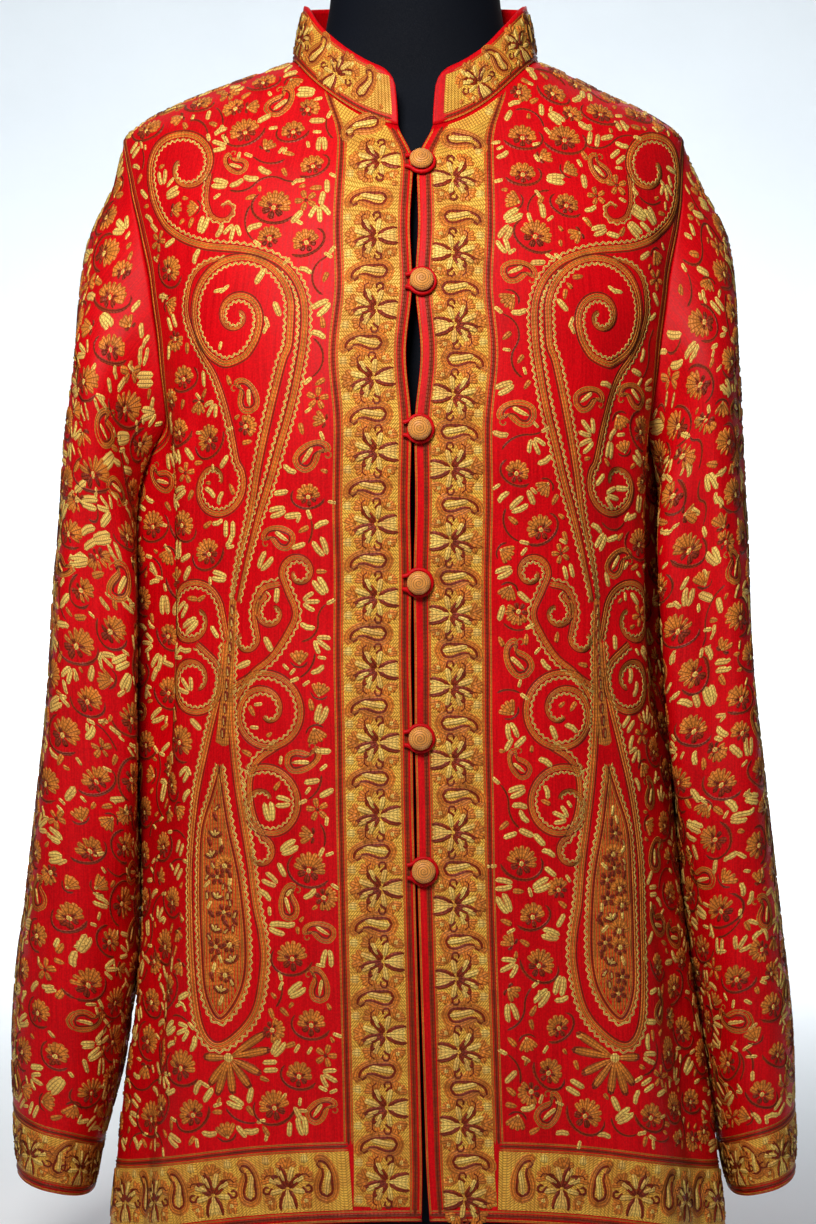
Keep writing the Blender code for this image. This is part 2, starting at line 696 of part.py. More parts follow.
def build_loops(silk):
    """Cord loops from the right front's edge, each round one button's shank."""
    for index, (height, x) in enumerate(zip(BUTTONS["height"], BUTTONS["x"]), 1):
        here, right, up, out = front_frame(x, height)
        lift = CLEAR + LOOP_RADIUS
        points = [(LOOP_ROOT, LOOP_ROOT_SPREAD), (LOOP_ROOT / 2, LOOP_ROOT_SPREAD)]
        for angle in np.radians(LOOP_TURNS):
            points.append((LOOP_REACH * math.cos(angle), LOOP_REACH * math.sin(angle)))
        points += [(LOOP_ROOT / 2, -LOOP_ROOT_SPREAD), (LOOP_ROOT, -LOOP_ROOT_SPREAD)]
        curve = bpy.data.curves.new(f"loop_{index}", "CURVE")
        curve.dimensions = "3D"
        curve.bevel_depth = LOOP_RADIUS
        curve.bevel_resolution = 1
        curve.use_fill_caps = True
        spline = curve.splines.new("POLY")
        spline.points.add(len(points) - 1)
        for target, (across, rise) in zip(spline.points, points):
            place = here + right * across + up * rise + out * lift
            target.co = (*place, 1)
        curve.materials.append(silk)
        made = bpy.data.objects.new(f"loop_{index}", curve)
        bpy.context.scene.collection.objects.link(made)


def build_form(cloth):
    """The dress form: a closed torso with a neck and no limbs, flat where it stands."""
    turns = np.linspace(0, 2 * math.pi, FORM_RING, endpoint=False)
    levels = np.array(FORM_LEVELS)
    folded = np.where(turns > math.pi, 2 * math.pi - turns, turns)
    x, y, _ = oval(FORM, folded[None, :], np.repeat(levels[:, None], FORM_RING, axis=1))
    z = np.repeat(levels[:, None], FORM_RING, axis=1)
    x = x * np.where(turns > math.pi, -1, 1)[None] + sway(folded[None, :], z)
    vertices = np.stack([x, y, z], axis=-1).reshape(-1, 3)
    faces = [tuple(range(FORM_RING))[::-1], tuple(range(len(vertices) - FORM_RING, len(vertices)))]
    for r in range(len(levels) - 1):
        for c in range(FORM_RING):
            a, b = r * FORM_RING + c, r * FORM_RING + (c + 1) % FORM_RING
            faces.append((a, b, b + FORM_RING, a + FORM_RING))
    solid("dress_form", vertices, faces, cloth)


def main():
    for old in list(bpy.data.objects):
        bpy.data.objects.remove(old)
    silk = material("embroidered_silk", SILK_RED, 0.45, sheen=0.3)
    trim = material("gold_thread", THREAD_GOLD, 0.55)
    ochre = material("ochre_thread", THREAD_OCHRE, 0.6)
    jersey = material("black_jersey", FORM_BLACK, 0.8)
    build_form(jersey)
    build_fronts(silk)
    build_back(silk)
    build_sleeves(silk)
    build_collar(trim)
    build_buttons(ochre)
    build_loops(silk)


main()
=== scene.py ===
"""A red silk jacket with gold chain-stitch embroidery, on a limbless dress form.

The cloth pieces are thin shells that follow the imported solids, and the embroidery is stitched onto
them row by row: each row is a low ridge of thread laid along a path on the cloth.
"""

import math

import bpy
import numpy as np
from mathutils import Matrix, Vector


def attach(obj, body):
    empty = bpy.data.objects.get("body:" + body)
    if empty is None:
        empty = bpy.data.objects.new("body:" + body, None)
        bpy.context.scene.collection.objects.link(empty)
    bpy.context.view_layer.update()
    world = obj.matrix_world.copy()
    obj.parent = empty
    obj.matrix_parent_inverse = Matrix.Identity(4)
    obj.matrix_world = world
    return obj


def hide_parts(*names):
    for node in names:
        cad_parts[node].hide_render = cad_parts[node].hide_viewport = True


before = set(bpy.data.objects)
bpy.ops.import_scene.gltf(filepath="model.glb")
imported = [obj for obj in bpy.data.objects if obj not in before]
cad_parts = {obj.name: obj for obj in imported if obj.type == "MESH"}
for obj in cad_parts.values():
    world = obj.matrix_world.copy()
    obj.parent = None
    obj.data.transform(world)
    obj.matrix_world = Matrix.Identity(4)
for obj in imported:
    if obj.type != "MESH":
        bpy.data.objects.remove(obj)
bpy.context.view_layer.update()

bl_info = {
    "name": "Embroidered silk jacket",
    "version": (1, 0, 0),
    "blender": (4, 5, 0),
    "location": "3D View > Sidebar > Jacket",
    "description": "Builds a stand-collared silk jacket with chain-stitch embroidery on its packed frame",
    "category": "Object",
}

MM = 0.001
QUARTER_TURN = math.pi / 2

# Levels on the jacket, as in the solids
SEAM = 0.0002
FOLD_BACK = 0.0019
UNDERARM = 0.556
SHOULDER_TIP = 0.768
NECK_POINT = 0.821
FRONT_NECK = 0.767
BACK_NECK = 0.832
NECK_HALF_WIDTH = 0.083
SIDE_HEM = 0.030
FRONT_HEM_RISE = 0.030
BACK_HEM_RISE = 0.006
COLLAR_HEIGHT = 0.038
COLLAR_LEAN = math.radians(11)
COLLAR_CORNER = 0.011
COLLAR_PARTING = 0.004
COLLAR_PARTING_REACH = 0.03
ARMHOLE_FRONT_TURN = math.radians(24)
ARMHOLE_BACK_TURN = math.radians(23)
ARMHOLE_LOW_BIAS = 0.20
CUFF_LEVEL = 0.064
CUFF_TILT = 0.007
CAP_SHARE = 0.12
SLEEVE_SQUARENESS = 0.90
EVEN_LEVEL = 0.66
SLEEVE_ROW_CROWDING = 1.25
BUTTON_HEIGHTS = (0.741, 0.661, 0.566, 0.468, 0.368, 0.283)
BUTTON_XS = (0.0040, 0.0052, 0.0042, 0.0040, 0.0042, 0.0048)

# Mesh steps of the finer cloth
LOWER_ROWS = 84
ARMHOLE_ROWS = 44
ACROSS = 72
SLEEVE_ROWS = 110
COLLAR_ROWS = 12

# The lattices that the stitches are laid on, from below the hem and past each side seam
LATTICE_STEP = 0.003
LATTICE_LOW = 0.018
LATTICE_HIGH = 0.842
LATTICE_REACH = 0.31
LATTICE_TURNS = np.linspace(0, QUARTER_TURN + 0.12, 260)
COLLAR_LATTICE_STEP = 0.002


def table(names, *rows):
    """Rows of numbers as a dictionary of named columns."""
    return dict(zip(names, np.array(rows, float).T))


BODY = table(
    ("height", "half_width", "front", "back", "squareness"),
    (0.0, 0.207, 0.137, 0.136, 0.84),
    (0.11, 0.1955, 0.134, 0.132, 0.84),
    (0.2, 0.185, 0.131, 0.127, 0.82),
    (0.29, 0.174, 0.127, 0.119, 0.8),
    (0.37, 0.1675, 0.124, 0.111, 0.78),
    (0.43, 0.164, 0.124, 0.108, 0.78),
    (0.5, 0.162, 0.129, 0.112, 0.78),
    (0.56, 0.165, 0.133, 0.12, 0.79),
    (0.62, 0.178, 0.129, 0.126, 0.82),
    (0.68, 0.188, 0.117, 0.124, 0.86),
    (0.73, 0.1915, 0.1, 0.114, 0.92),
    (0.768, 0.19, 0.079, 0.098, 0.98),
    (0.783, 0.173, 0.072, 0.091, 1.05),
    (0.8, 0.137, 0.066, 0.084, 1.08),
    (0.815, 0.1, 0.062, 0.077, 1.04),
    (0.821, 0.083, 0.06, 0.074, 1.02),
    (0.832, 0.055, 0.057, 0.068, 1.02),
    (0.84, 0.045, 0.055, 0.064, 1.02),
)

FRONT_GAP = table(
    ("height", "half_gap"),
    (0.05, 0.003),
    (0.1, 0.0012),
    (0.283, 0.0007),
    (0.325, 0.0009),
    (0.368, 0.0007),
    (0.42, 0.0011),
    (0.468, 0.0007),
    (0.52, 0.0016),
    (0.566, 0.0009),
    (0.615, 0.0047),
    (0.661, 0.001),
    (0.7, 0.0026),
    (0.741, 0.0012),
    (0.767, 0.0115),
)

SWAY = table(
    ("height", "middle", "side"),
    (0.0, 0.017, 0.011),
    (0.15, 0.013, 0.0105),
    (0.3, 0.009, 0.008),
    (0.45, 0.007, 0.005),
    (0.7, 0.008, 0.004),
    (0.768, 0.009, 0.001),
    (0.795, 0.009, 0.001),
    (0.821, 0.009, 0.009),
    (0.91, 0.009, 0.009),
)

# Folds as in the solids. Side is -1 for the wearer's right, +1 for the left and 0 for both.
FOLD_COLUMNS = ("side", "turn_deg", "spread_deg", "depth", "low", "high")
BODY_FOLDS = table(
    FOLD_COLUMNS,
    (-1, 60, 8, 0.007, 0.28, 0.64),
    (-1, 74, 8, -0.012, 0.3, 0.62),
    (-1, 89, 11, 0.0165, 0.2, 0.74),
    (1, 60, 9, 0.005, 0.32, 0.64),
    (1, 77, 8, -0.0075, 0.34, 0.64),
    (1, 90, 11, 0.003, 0.2, 0.7),
    (0, 28, 11, -0.004, 0.0, 0.42),
    (-1, 50, 9, 0.0055, -0.1, 0.33),
    (1, 46, 9, 0.005, -0.1, 0.3),
    (0, 66, 8, -0.0065, -0.1, 0.3),
    (-1, 84, 8, 0.005, -0.1, 0.24),
    (1, 82, 8, 0.0045, -0.1, 0.24),
    (0, 106, 9, -0.0055, -0.1, 0.4),
    (0, 124, 9, 0.006, -0.1, 0.46),
    (0, 143, 9, -0.0055, -0.1, 0.42),
    (-1, 162, 9, 0.005, -0.1, 0.5),
    (1, 160, 9, 0.006, -0.1, 0.46),
    (0, 128, 9, -0.0045, 0.52, 0.74),
)

SLEEVE = table(
    ("height", "inner_right", "outer_right", "inner_left", "outer_left", "front", "back"),
    (0.04, 0.213, 0.257, 0.227, 0.265, -0.05, 0.056),
    (0.086, 0.204, 0.261, 0.216, 0.266, -0.054, 0.059),
    (0.15, 0.188, 0.264, 0.205, 0.265, -0.06, 0.064),
    (0.2, 0.182, 0.2625, 0.199, 0.262, -0.063, 0.067),
    (0.26, 0.18, 0.256, 0.191, 0.256, -0.066, 0.069),
    (0.34, 0.181, 0.247, 0.185, 0.247, -0.069, 0.071),
    (0.43, 0.1835, 0.237, 0.18, 0.237, -0.071, 0.073),
    (0.51, 0.185, 0.231, 0.1765, 0.2315, -0.074, 0.075),
    (0.56, 0.183, 0.227, 0.1765, 0.229, -0.076, 0.078),
    (0.62, 0.182, 0.22, 0.18, 0.2265, -0.077, 0.079),
    (0.7, 0.186, 0.214, 0.186, 0.223, -0.072, 0.074),
    (0.74, 0.188, 0.201, 0.192, 0.212, -0.06, 0.062),
    (0.78, 0.188, 0.193, 0.192, 0.199, -0.04, 0.042),
)

SLEEVE_FOLDS = table(
    FOLD_COLUMNS,
    (-1, 138, 16, 0.013, 0.24, 0.57),
    (-1, 92, 17, -0.005, 0.26, 0.62),
    (-1, 58, 16, 0.003, 0.24, 0.56),
    (-1, 300, 20, -0.006, 0.12, 0.52),
    (1, 136, 16, 0.015, 0.24, 0.62),
    (1, 98, 17, -0.006, 0.3, 0.62),
    (1, 60, 18, 0.003, 0.26, 0.56),
    (1, 292, 20, -0.007, 0.14, 0.5),
    (0, 20, 17, -0.003, 0.16, 0.48),
)

# Finer creases that only the cloth shells have. Each leans by so many degrees of turn per metre.
CREASE_COLUMNS = ("side", "turn_deg", "spread_deg", "depth", "low", "high", "lean")
BODY_CREASES = table(
    CREASE_COLUMNS,
    (-1, 52, 3.2, -0.002, 0.48, 0.66, -60),
    (-1, 66, 3.0, 0.0016, 0.44, 0.6, 50),
    (-1, 38, 4.0, -0.0014, 0.38, 0.56, -80),
    (-1, 20, 3.5, 0.0012, 0.18, 0.42, 40),
    (-1, 33, 3.0, -0.0013, 0.06, 0.3, 30),
    (-1, 58, 3.0, 0.0015, 0.06, 0.26, -30),
    (1, 50, 3.5, -0.0018, 0.46, 0.65, -70),
    (1, 66, 3.0, 0.0014, 0.42, 0.6, 60),
    (1, 36, 4.0, 0.0012, 0.3, 0.52, 90),
    (1, 22, 3.5, -0.0011, 0.12, 0.38, -30),
    (1, 57, 3.2, -0.0015, 0.06, 0.28, 40),
    (0, 80, 4.0, 0.0016, 0.64, 0.74, -160),
    (0, 62, 4.5, -0.0014, 0.64, 0.745, -140),
    (0, 116, 4.0, -0.0016, 0.08, 0.36, 40),
    (0, 134, 3.5, 0.0015, 0.18, 0.52, -60),
    (0, 152, 4.0, -0.0016, 0.06, 0.33, 30),
    (-1, 171, 4.0, 0.0013, 0.14, 0.48, 20),
    (1, 168, 4.0, 0.0014, 0.06, 0.4, -30),
    (0, 112, 4.0, -0.0018, 0.56, 0.73, 170),
    (0, 140, 5.0, 0.0012, 0.56, 0.7, 110),
)
SLEEVE_CREASES = table(
    CREASE_COLUMNS,
    (-1, 76, 6, -0.0022, 0.42, 0.64, -150),
    (-1, 40, 6, 0.0018, 0.5, 0.7, 120),
    (-1, 110, 6, 0.002, 0.3, 0.52, -120),
    (-1, 66, 6, -0.0016, 0.14, 0.36, 140),
    (-1, 20, 7, 0.0016, 0.3, 0.52, -90),
    (-1, 96, 6, 0.0016, 0.09, 0.26, 60),
    (1, 72, 6, -0.002, 0.44, 0.65, 140),
    (1, 44, 7, 0.0018, 0.32, 0.56, -130),
    (1, 112, 6, 0.0018, 0.26, 0.5, 120),
    (1, 84, 6, -0.0016, 0.12, 0.32, -110),
    (1, 24, 7, 0.0016, 0.44, 0.66, 90),
    (0, 330, 8, 0.002, 0.24, 0.48, 90),
    (0, 270, 8, -0.0022, 0.34, 0.6, -80),
    (0, 240, 8, 0.0022, 0.18, 0.42, 60),
    (0, 205, 8, -0.0018, 0.14, 0.38, 60),
)


# How far the body's side and the sleeve's inner side each bulge to meet below the arm.
BULGE = table(
    ("height", "right", "left"),
    (0.18, 0.0, 0.0),
    (0.22, 0.0033, 0.0014),
    (0.3, 0.0031, 0.0021),
    (0.34, 0.0024, 0.0026),
    (0.38, 0.0027, 0.0035),
    (0.42, 0.0043, 0.0045),
    (0.46, 0.0054, 0.0045),
    (0.5, 0.0063, 0.004),
    (0.54, 0.0046, 0.0032),
    (0.57, 0.0024, 0.0019),
    (0.6, 0.0, 0.0),
)


def through(knots, values, at):
    """A smooth curve through the values that never overshoots between them."""
    at = np.clip(at, knots[0], knots[-1])
    steps = np.diff(knots)
    slopes = np.diff(values) / steps
    both = slopes[1:] * slopes[:-1]
    mean = np.where(both > 0, slopes[1:] + slopes[:-1], 1.0)
    tangents = np.concatenate(([slopes[0]], np.where(both > 0, 2 * both / mean, 0.0), [slopes[-1]]))
    i = np.clip(np.searchsorted(knots, at) - 1, 0, len(steps) - 1)
    u = (at - knots[i]) / steps[i]
    rise = (3 - 2 * u) * u * u
    start = u * (1 - u) ** 2 * steps[i] * tangents[i]
    end = -u * u * (1 - u) * steps[i] * tangents[i + 1]
    return values[i] * (1 - rise) + values[i + 1] * rise + start + end


def smooth(value):
    """0 below 0, 1 above 1, and an even ramp between."""
    value = np.clip(value, 0, 1)
    return value * value * (3 - 2 * value)


def unit(vectors):
    """The vectors, each made one long."""
    return vectors / np.maximum(np.linalg.norm(vectors, axis=-1, keepdims=True), 1e-12)


def fold_depth(folds, turn, height, side):
    """How far the folds push the cloth out at a turn and a height. Each fades out at its ends."""
    depth = np.zeros(np.broadcast(turn, height).shape)
    lean = folds.get("lean", np.zeros(len(folds["side"])))
    columns = [folds[name] for name in FOLD_COLUMNS]
    for f_side, middle, spread, push, low, high, f_lean in zip(*columns, lean):
        if f_side not in (0, side):
            continue
        centre = middle + f_lean * (height - (low + high) / 2)
        away = (np.degrees(turn) - centre + 180) % 360 - 180
        along = (height - low) / (high - low)
        fade = smooth(along / 0.35) * smooth((1 - along) / 0.35)
        depth = depth + push * np.exp(-((away / spread) ** 2)) * fade
    return depth


def bulge(turn, height, side, middle, spread):
    """How far a side pushes out round a middle turn to meet what hangs beside it."""
    away = (np.degrees(turn) - middle + 180) % 360 - 180
    push = through(BULGE["height"], BULGE["left" if side > 0 else "right"], height)
    return push * np.exp(-((away / spread) ** 2))


def oval(height):
    """The body's half width, its depths to the front and the back, and its squareness at a height."""
    return [through(BODY["height"], BODY[name], height) for name in BODY if name != "height"]


def body_point(turn, height, side):
    """Points of the jacket's outer face at a turn from the front and a height."""
    turn, height = np.broadcast_arrays(np.asarray(turn, float), np.asarray(height, float))
    width, front, back, squareness = oval(height)
    facing = np.where(np.cos(turn) >= 0, -1.0, 1.0)
    depth = np.where(facing < 0, front, back)
    sine, cosine = np.abs(np.sin(turn)), np.abs(np.cos(turn))
    x = width * sine**squareness
    y = facing * depth * cosine**squareness
    leaning = (sine ** (2 - squareness) / width, facing * cosine ** (2 - squareness) / depth)
    out = unit(np.stack(leaning, axis=-1))
    push = fold_depth(BODY_FOLDS, turn, height, side) + fold_depth(BODY_CREASES, turn, height, side)
    push = push + bulge(turn, height, side, 84, 14)
    middle, at_side = (through(SWAY["height"], SWAY[name], height) for name in ("middle", "side"))
    sway = middle + (at_side - middle) * sine**2
    return np.stack([side * (x + out[..., 0] * push) + sway, y + out[..., 1] * push, height], axis=-1)


def hem_level(turn):
    """The hem rises towards the front edges, and a little towards the middle of the back."""
    rise = np.where(np.cos(turn) > 0, FRONT_HEM_RISE, BACK_HEM_RISE)
    return SIDE_HEM + rise * np.cos(turn) ** 2


def turn_at(x, height):
    """The turn at which the body's oval is x from the middle."""
    width, _, _, squareness = oval(height)
    return np.arcsin(np.clip(x / width, 0, 1) ** (1 / squareness))


def front_edge_turn(height):
    """The turn of the front edge, which stands half the gap from the middle."""
    return turn_at(through(FRONT_GAP["height"], FRONT_GAP["half_gap"], height), height)


def lengths_along(points):
    """The distance along a line of points to each of them."""
    return np.concatenate([[0], np.cumsum(np.linalg.norm(np.diff(points, axis=0), axis=1))])


def places_on(line, along, wanted):
    """The places on a line at some distances along it, from the distance of each of its points."""
    return np.stack([np.interp(wanted, along, column) for column in line.T], axis=-1)


def lengths_over(grid, axis=1):
    """The distance along each row of a grid of points to each of them, or along each column."""
    along = np.cumsum(np.linalg.norm(np.diff(grid, axis=axis), axis=2), axis=axis)
    return np.concatenate([0 * along.take([0], axis=axis), along], axis=axis)


def evenly(path, count):
    """Turns and heights at equal steps of cloth along a path of turns and heights."""
    along = lengths_along(plain_point(path[:, 0], path[:, 1]))
    return places_on(path, along, np.linspace(0, along[-1], count + 1))


def neckline(angle, back):
    """Turn and height on the neckline, at an angle round the neck from the middle to the side."""
    middle = BACK_NECK if back else FRONT_NECK
    height = middle + (NECK_POINT - middle) * np.sin(angle) ** 2
    turn = turn_at(NECK_HALF_WIDTH * np.sin(angle), height)
    return np.stack([math.pi - turn if back else turn, height], axis=1)


def armhole_path(back):
    """Turns and heights from the underarm up to the shoulder tip."""
    sweep = np.linspace(0, math.pi, 200)
    reach = np.sin(sweep) * (1 + ARMHOLE_LOW_BIAS * np.cos(sweep))
    turn = ARMHOLE_BACK_TURN if back else -ARMHOLE_FRONT_TURN
    middle, radius = (SHOULDER_TIP + UNDERARM) / 2, (SHOULDER_TIP - UNDERARM) / 2
    return np.stack([QUARTER_TURN + turn * reach, middle - radius * np.cos(sweep)], axis=1)


def plain_point(turn, height):
    """A point on the body's ovals, without sway or folds."""
    width, front, back, squareness = oval(height)
    x = width * np.abs(np.sin(turn)) ** squareness
    y = np.where(np.cos(turn) >= 0, -front, back) * np.abs(np.cos(turn)) ** squareness
    return np.stack([x, y, np.broadcast_to(height, x.shape)], axis=-1)


def turn_of(points):
    """The turn of a point that lies near the body's ovals."""
    x, y, z = np.moveaxis(points, -1, 0)
    width, front, back, squareness = oval(z)
    across = np.maximum(x / width, 0) ** (1 / squareness)
    along = (np.abs(y) / np.where(y < 0, front, back)) ** (1 / squareness)
    turn = np.arctan2(across, along)
    return np.where(y > 0, math.pi - turn, turn)


def patch(bottom, top, inner, outer):
    """Turns and heights inside four edges that share their corners, evenly spread over the cloth."""
    bottom, top, inner, outer = (plain_point(edge[:, 0], edge[:, 1]) for edge in (bottom, top, inner, outer))
    s = np.linspace(0, 1, len(bottom))[None, :, None]
    t = np.linspace(0, 1, len(inner))[:, None, None]
    across = (1 - t) * bottom[None] + t * top[None]
    upward = (1 - s) * inner[:, None] + s * outer[:, None]
    corners = (1 - s) * ((1 - t) * bottom[0] + t * top[0]) + s * ((1 - t) * bottom[-1] + t * top[-1])
    points = across + upward - corners
    return np.stack([turn_of(points), points[..., 2]], axis=-1)


def half_panel(back):
    """Turns and heights of half the body's front or back: rows go up, columns from the middle out."""
    middle_turn = (lambda z: np.full(np.shape(z), math.pi)) if back else front_edge_turn
    middle_hem = float(hem_level(math.pi if back else 0.0))
    fine = np.linspace(0, 1, 200)
    lower = []
    for share in np.linspace(0, 1, LOWER_ROWS + 1):
        start = float(middle_turn(np.array(middle_hem * (1 - share) + UNDERARM * share)))
        turns = start + (QUARTER_TURN - start) * fine
        heights = hem_level(turns) * (1 - share) + UNDERARM * share
        lower.append(evenly(np.stack([turns, heights], axis=1), ACROSS))
    middle_top = BACK_NECK if back else FRONT_NECK
    rise = np.linspace(UNDERARM, middle_top, ARMHOLE_ROWS + 1)
    inner = np.stack([middle_turn(rise), rise], axis=1)
    first = 0.0 if back else math.asin(FRONT_GAP["half_gap"][-1] / NECK_HALF_WIDTH)
    neck = evenly(neckline(np.linspace(first, QUARTER_TURN, 200), back), ACROSS // 2)
    ridge = np.linspace(NECK_POINT, SHOULDER_TIP, 200)
    seam = evenly(np.stack([np.full(200, QUARTER_TURN), ridge], axis=1), ACROSS // 2)
    inner[-1] = neck[0]
    arm = evenly(armhole_path(back), ARMHOLE_ROWS)
    upper = patch(lower[-1], np.concatenate([neck, seam[1:]]), inner, arm)
    return np.concatenate([np.array(lower[:-1]), upper])


def sleeve_section(turn, height, side):
    """Points of a hanging sleeve at a turn from the outside of the arm towards the front."""
    arm = "left" if side > 0 else "right"
    names = (f"inner_{arm}", f"outer_{arm}", "front", "back")
    inner, outer, front, back = (through(SLEEVE["height"], SLEEVE[name], height) for name in names)
    cosine, sine = np.cos(turn), np.sin(turn)
    out_x = np.sign(cosine) * np.abs(cosine) ** SLEEVE_SQUARENESS
    out_y = -np.sign(sine) * np.abs(sine) ** SLEEVE_SQUARENESS
    push = fold_depth(SLEEVE_FOLDS, turn, height, side) + fold_depth(SLEEVE_CREASES, turn, height, side)
    push = push + bulge(turn, height, side, 165, 40)
    x = (inner + outer) / 2 + out_x * ((outer - inner) / 2 + push)
    y = (front + back) / 2 + out_y * ((back - front) / 2 + push)
    return np.stack([side * x, y, np.broadcast_to(height, x.shape)], axis=-1)


def armhole_ring(side):
    """The armhole from the shoulder tip down the front and up the back, with the cloth's directions.

    Also the direction, in the cloth's surface, that points away from the body's panels."""
    rings = []
    nudge = 0.002
    for back in (False, True):
        path = evenly(armhole_path(back), ARMHOLE_ROWS)
        points = body_point(path[:, 0], path[:, 1], side)
        inwards = nudge if back else -nudge
        beside = body_point(path[:, 0] + inwards * 5, path[:, 1], side)
        above = body_point(path[:, 0], path[:, 1] + nudge, side)
        normals = unit(np.cross(beside - points, above - points))
        normals *= np.sign((normals * (points * np.array([1.0, 1.0, 0.0]))).sum(axis=1, keepdims=True))
        rings.append((points, normals, unit(points - beside)))
    down, up = slice(None, None, -1), slice(1, -1)
    points, normals, away = [np.concatenate([f[down], b[up]]) for f, b in zip(*rings)]
    along = unit(np.roll(points, -1, axis=0) - np.roll(points, 1, axis=0))
    edge_way = unit(np.cross(along, normals))
    return points, normals, edge_way * np.sign((edge_way * away).sum())


def sleeve_grid(side, crowding=SLEEVE_ROW_CROWDING):
    """The sleeve's outer points in rings from the armhole to the cuff."""
    points, normals, away = armhole_ring(side)
    count = len(points)
    fine = np.linspace(0, 2 * math.pi, 1441)
    along = lengths_along(sleeve_section(fine, np.full(len(fine), EVEN_LEVEL), 1))
    half_way = np.interp(math.pi, fine, along)
    first = np.linspace(0, half_way, count // 2 + 1)
    second = np.linspace(half_way, along[-1], count // 2 + 1)[1:-1]
    turns = np.interp(np.concatenate([first, second]), along, fine)
    cuff = CUFF_LEVEL + CUFF_TILT * np.cos(turns)
    rings = []
    for share in np.linspace(0, 1, SLEEVE_ROWS + 1) ** crowding:
        heights = points[:, 2] * (1 - share) + cuff * share
        eased = 1 - (1 - min(share / CAP_SHARE, 1)) ** 2
        ring = points * (1 - eased) + sleeve_section(turns, heights, side) * eased
        ring[:, 2] = heights
        rings.append(ring)
    grid = np.array(rings)
    leaving = unit(grid[4] - grid[0])
    doubled = np.maximum(-(leaving * away).sum(axis=1, keepdims=True), 0)
    grid[0] += away * SEAM + normals * FOLD_BACK * doubled
    return grid


def make_mesh(name, vertices, faces, uv=None):
    """A mesh object from arrays: all its faces have as many corners, and uv has a row for each corner."""
    mesh = bpy.data.meshes.new(name)
    count, corners = faces.shape
    mesh.vertices.add(len(vertices))
    mesh.vertices.foreach_set("co", np.ascontiguousarray(vertices, np.float32).ravel())
    mesh.loops.add(count * corners)
    mesh.loops.foreach_set("vertex_index", np.ascontiguousarray(faces, np.int32).ravel())
    mesh.polygons.add(count)
    mesh.polygons.foreach_set("loop_start", np.arange(0, count * corners, corners, dtype=np.int32))
    mesh.update(calc_edges=True)
    if uv is not None:
        layer = mesh.uv_layers.new(name="threads")
        layer.data.foreach_set("uv", np.ascontiguousarray(uv, np.float32).ravel())
    mesh.polygons.foreach_set("use_smooth", np.ones(count, bool))
    made = bpy.data.objects.new(name, mesh)
    bpy.context.scene.collection.objects.link(made)
    return made


def grid_faces(rows, columns, around=False):
    """Corner numbers of the quads of a grid of points, and the grid place of each corner."""
    last = columns if around else columns - 1
    r, c = (a.ravel() for a in np.meshgrid(np.arange(rows - 1), np.arange(last), indexing="ij"))
    corner_rows = np.stack([r, r, r + 1, r + 1], axis=1)
    corner_columns = np.stack([c, c + 1, c + 1, c], axis=1)
    return corner_rows * columns + corner_columns % columns, corner_rows, corner_columns


def select_only(obj):
    """Leaves one object selected and active."""
    for other in bpy.context.selected_objects:
        other.select_set(False)
    obj.select_set(True)
    bpy.context.view_layer.objects.active = obj


def apply_modifiers(obj):
    """Applies each modifier of an object in turn."""
    select_only(obj)
    for modifier in list(obj.modifiers):
        bpy.ops.object.modifier_apply(modifier=modifier.name)


def cloth_shell(name, grid, places, thickness, silk, around=False):
    """A thin closed shell of cloth behind a grid of outer points. places gives each point's pattern place."""
    faces, rows, columns = grid_faces(*grid.shape[:2], around)
    _, side = outward_normals(grid, around)
    if side < 0:
        faces, rows, columns = (a[:, ::-1] for a in (faces, rows, columns))
    made = make_mesh(name, grid.reshape(-1, 3), faces, places[rows, columns])
    made.data.materials.append(silk)
    solidify = made.modifiers.new("wall", "SOLIDIFY")
    solidify.thickness = thickness
    solidify.offset = -1
    apply_modifiers(made)
    return made


def outward_normals(grid, around):
    """The grid's directions away from the upright axis through its own middle.

    Also 1 if its quads face that way, else -1."""
    across = np.roll(grid, -1, axis=1) - np.roll(grid, 1, axis=1) if around else np.gradient(grid, axis=1)
    normals = np.cross(across, np.gradient(grid, axis=0))
    centre = grid.mean(axis=(0, 1)) if around else np.zeros(3)
    side = np.sign((normals * (grid - centre) * np.array([1.0, 1.0, 0.0])).sum())
    return unit(normals) * side, side


def blended(values, low, left, right, x, y):
    """The values inside the squares of a lattice, from those at their corners."""
    bottom = values[low, left] * (1 - x) + values[low, right] * x
    top = values[low + 1, left] * (1 - x) + values[low + 1, right] * x
    return bottom * (1 - y) + top * y


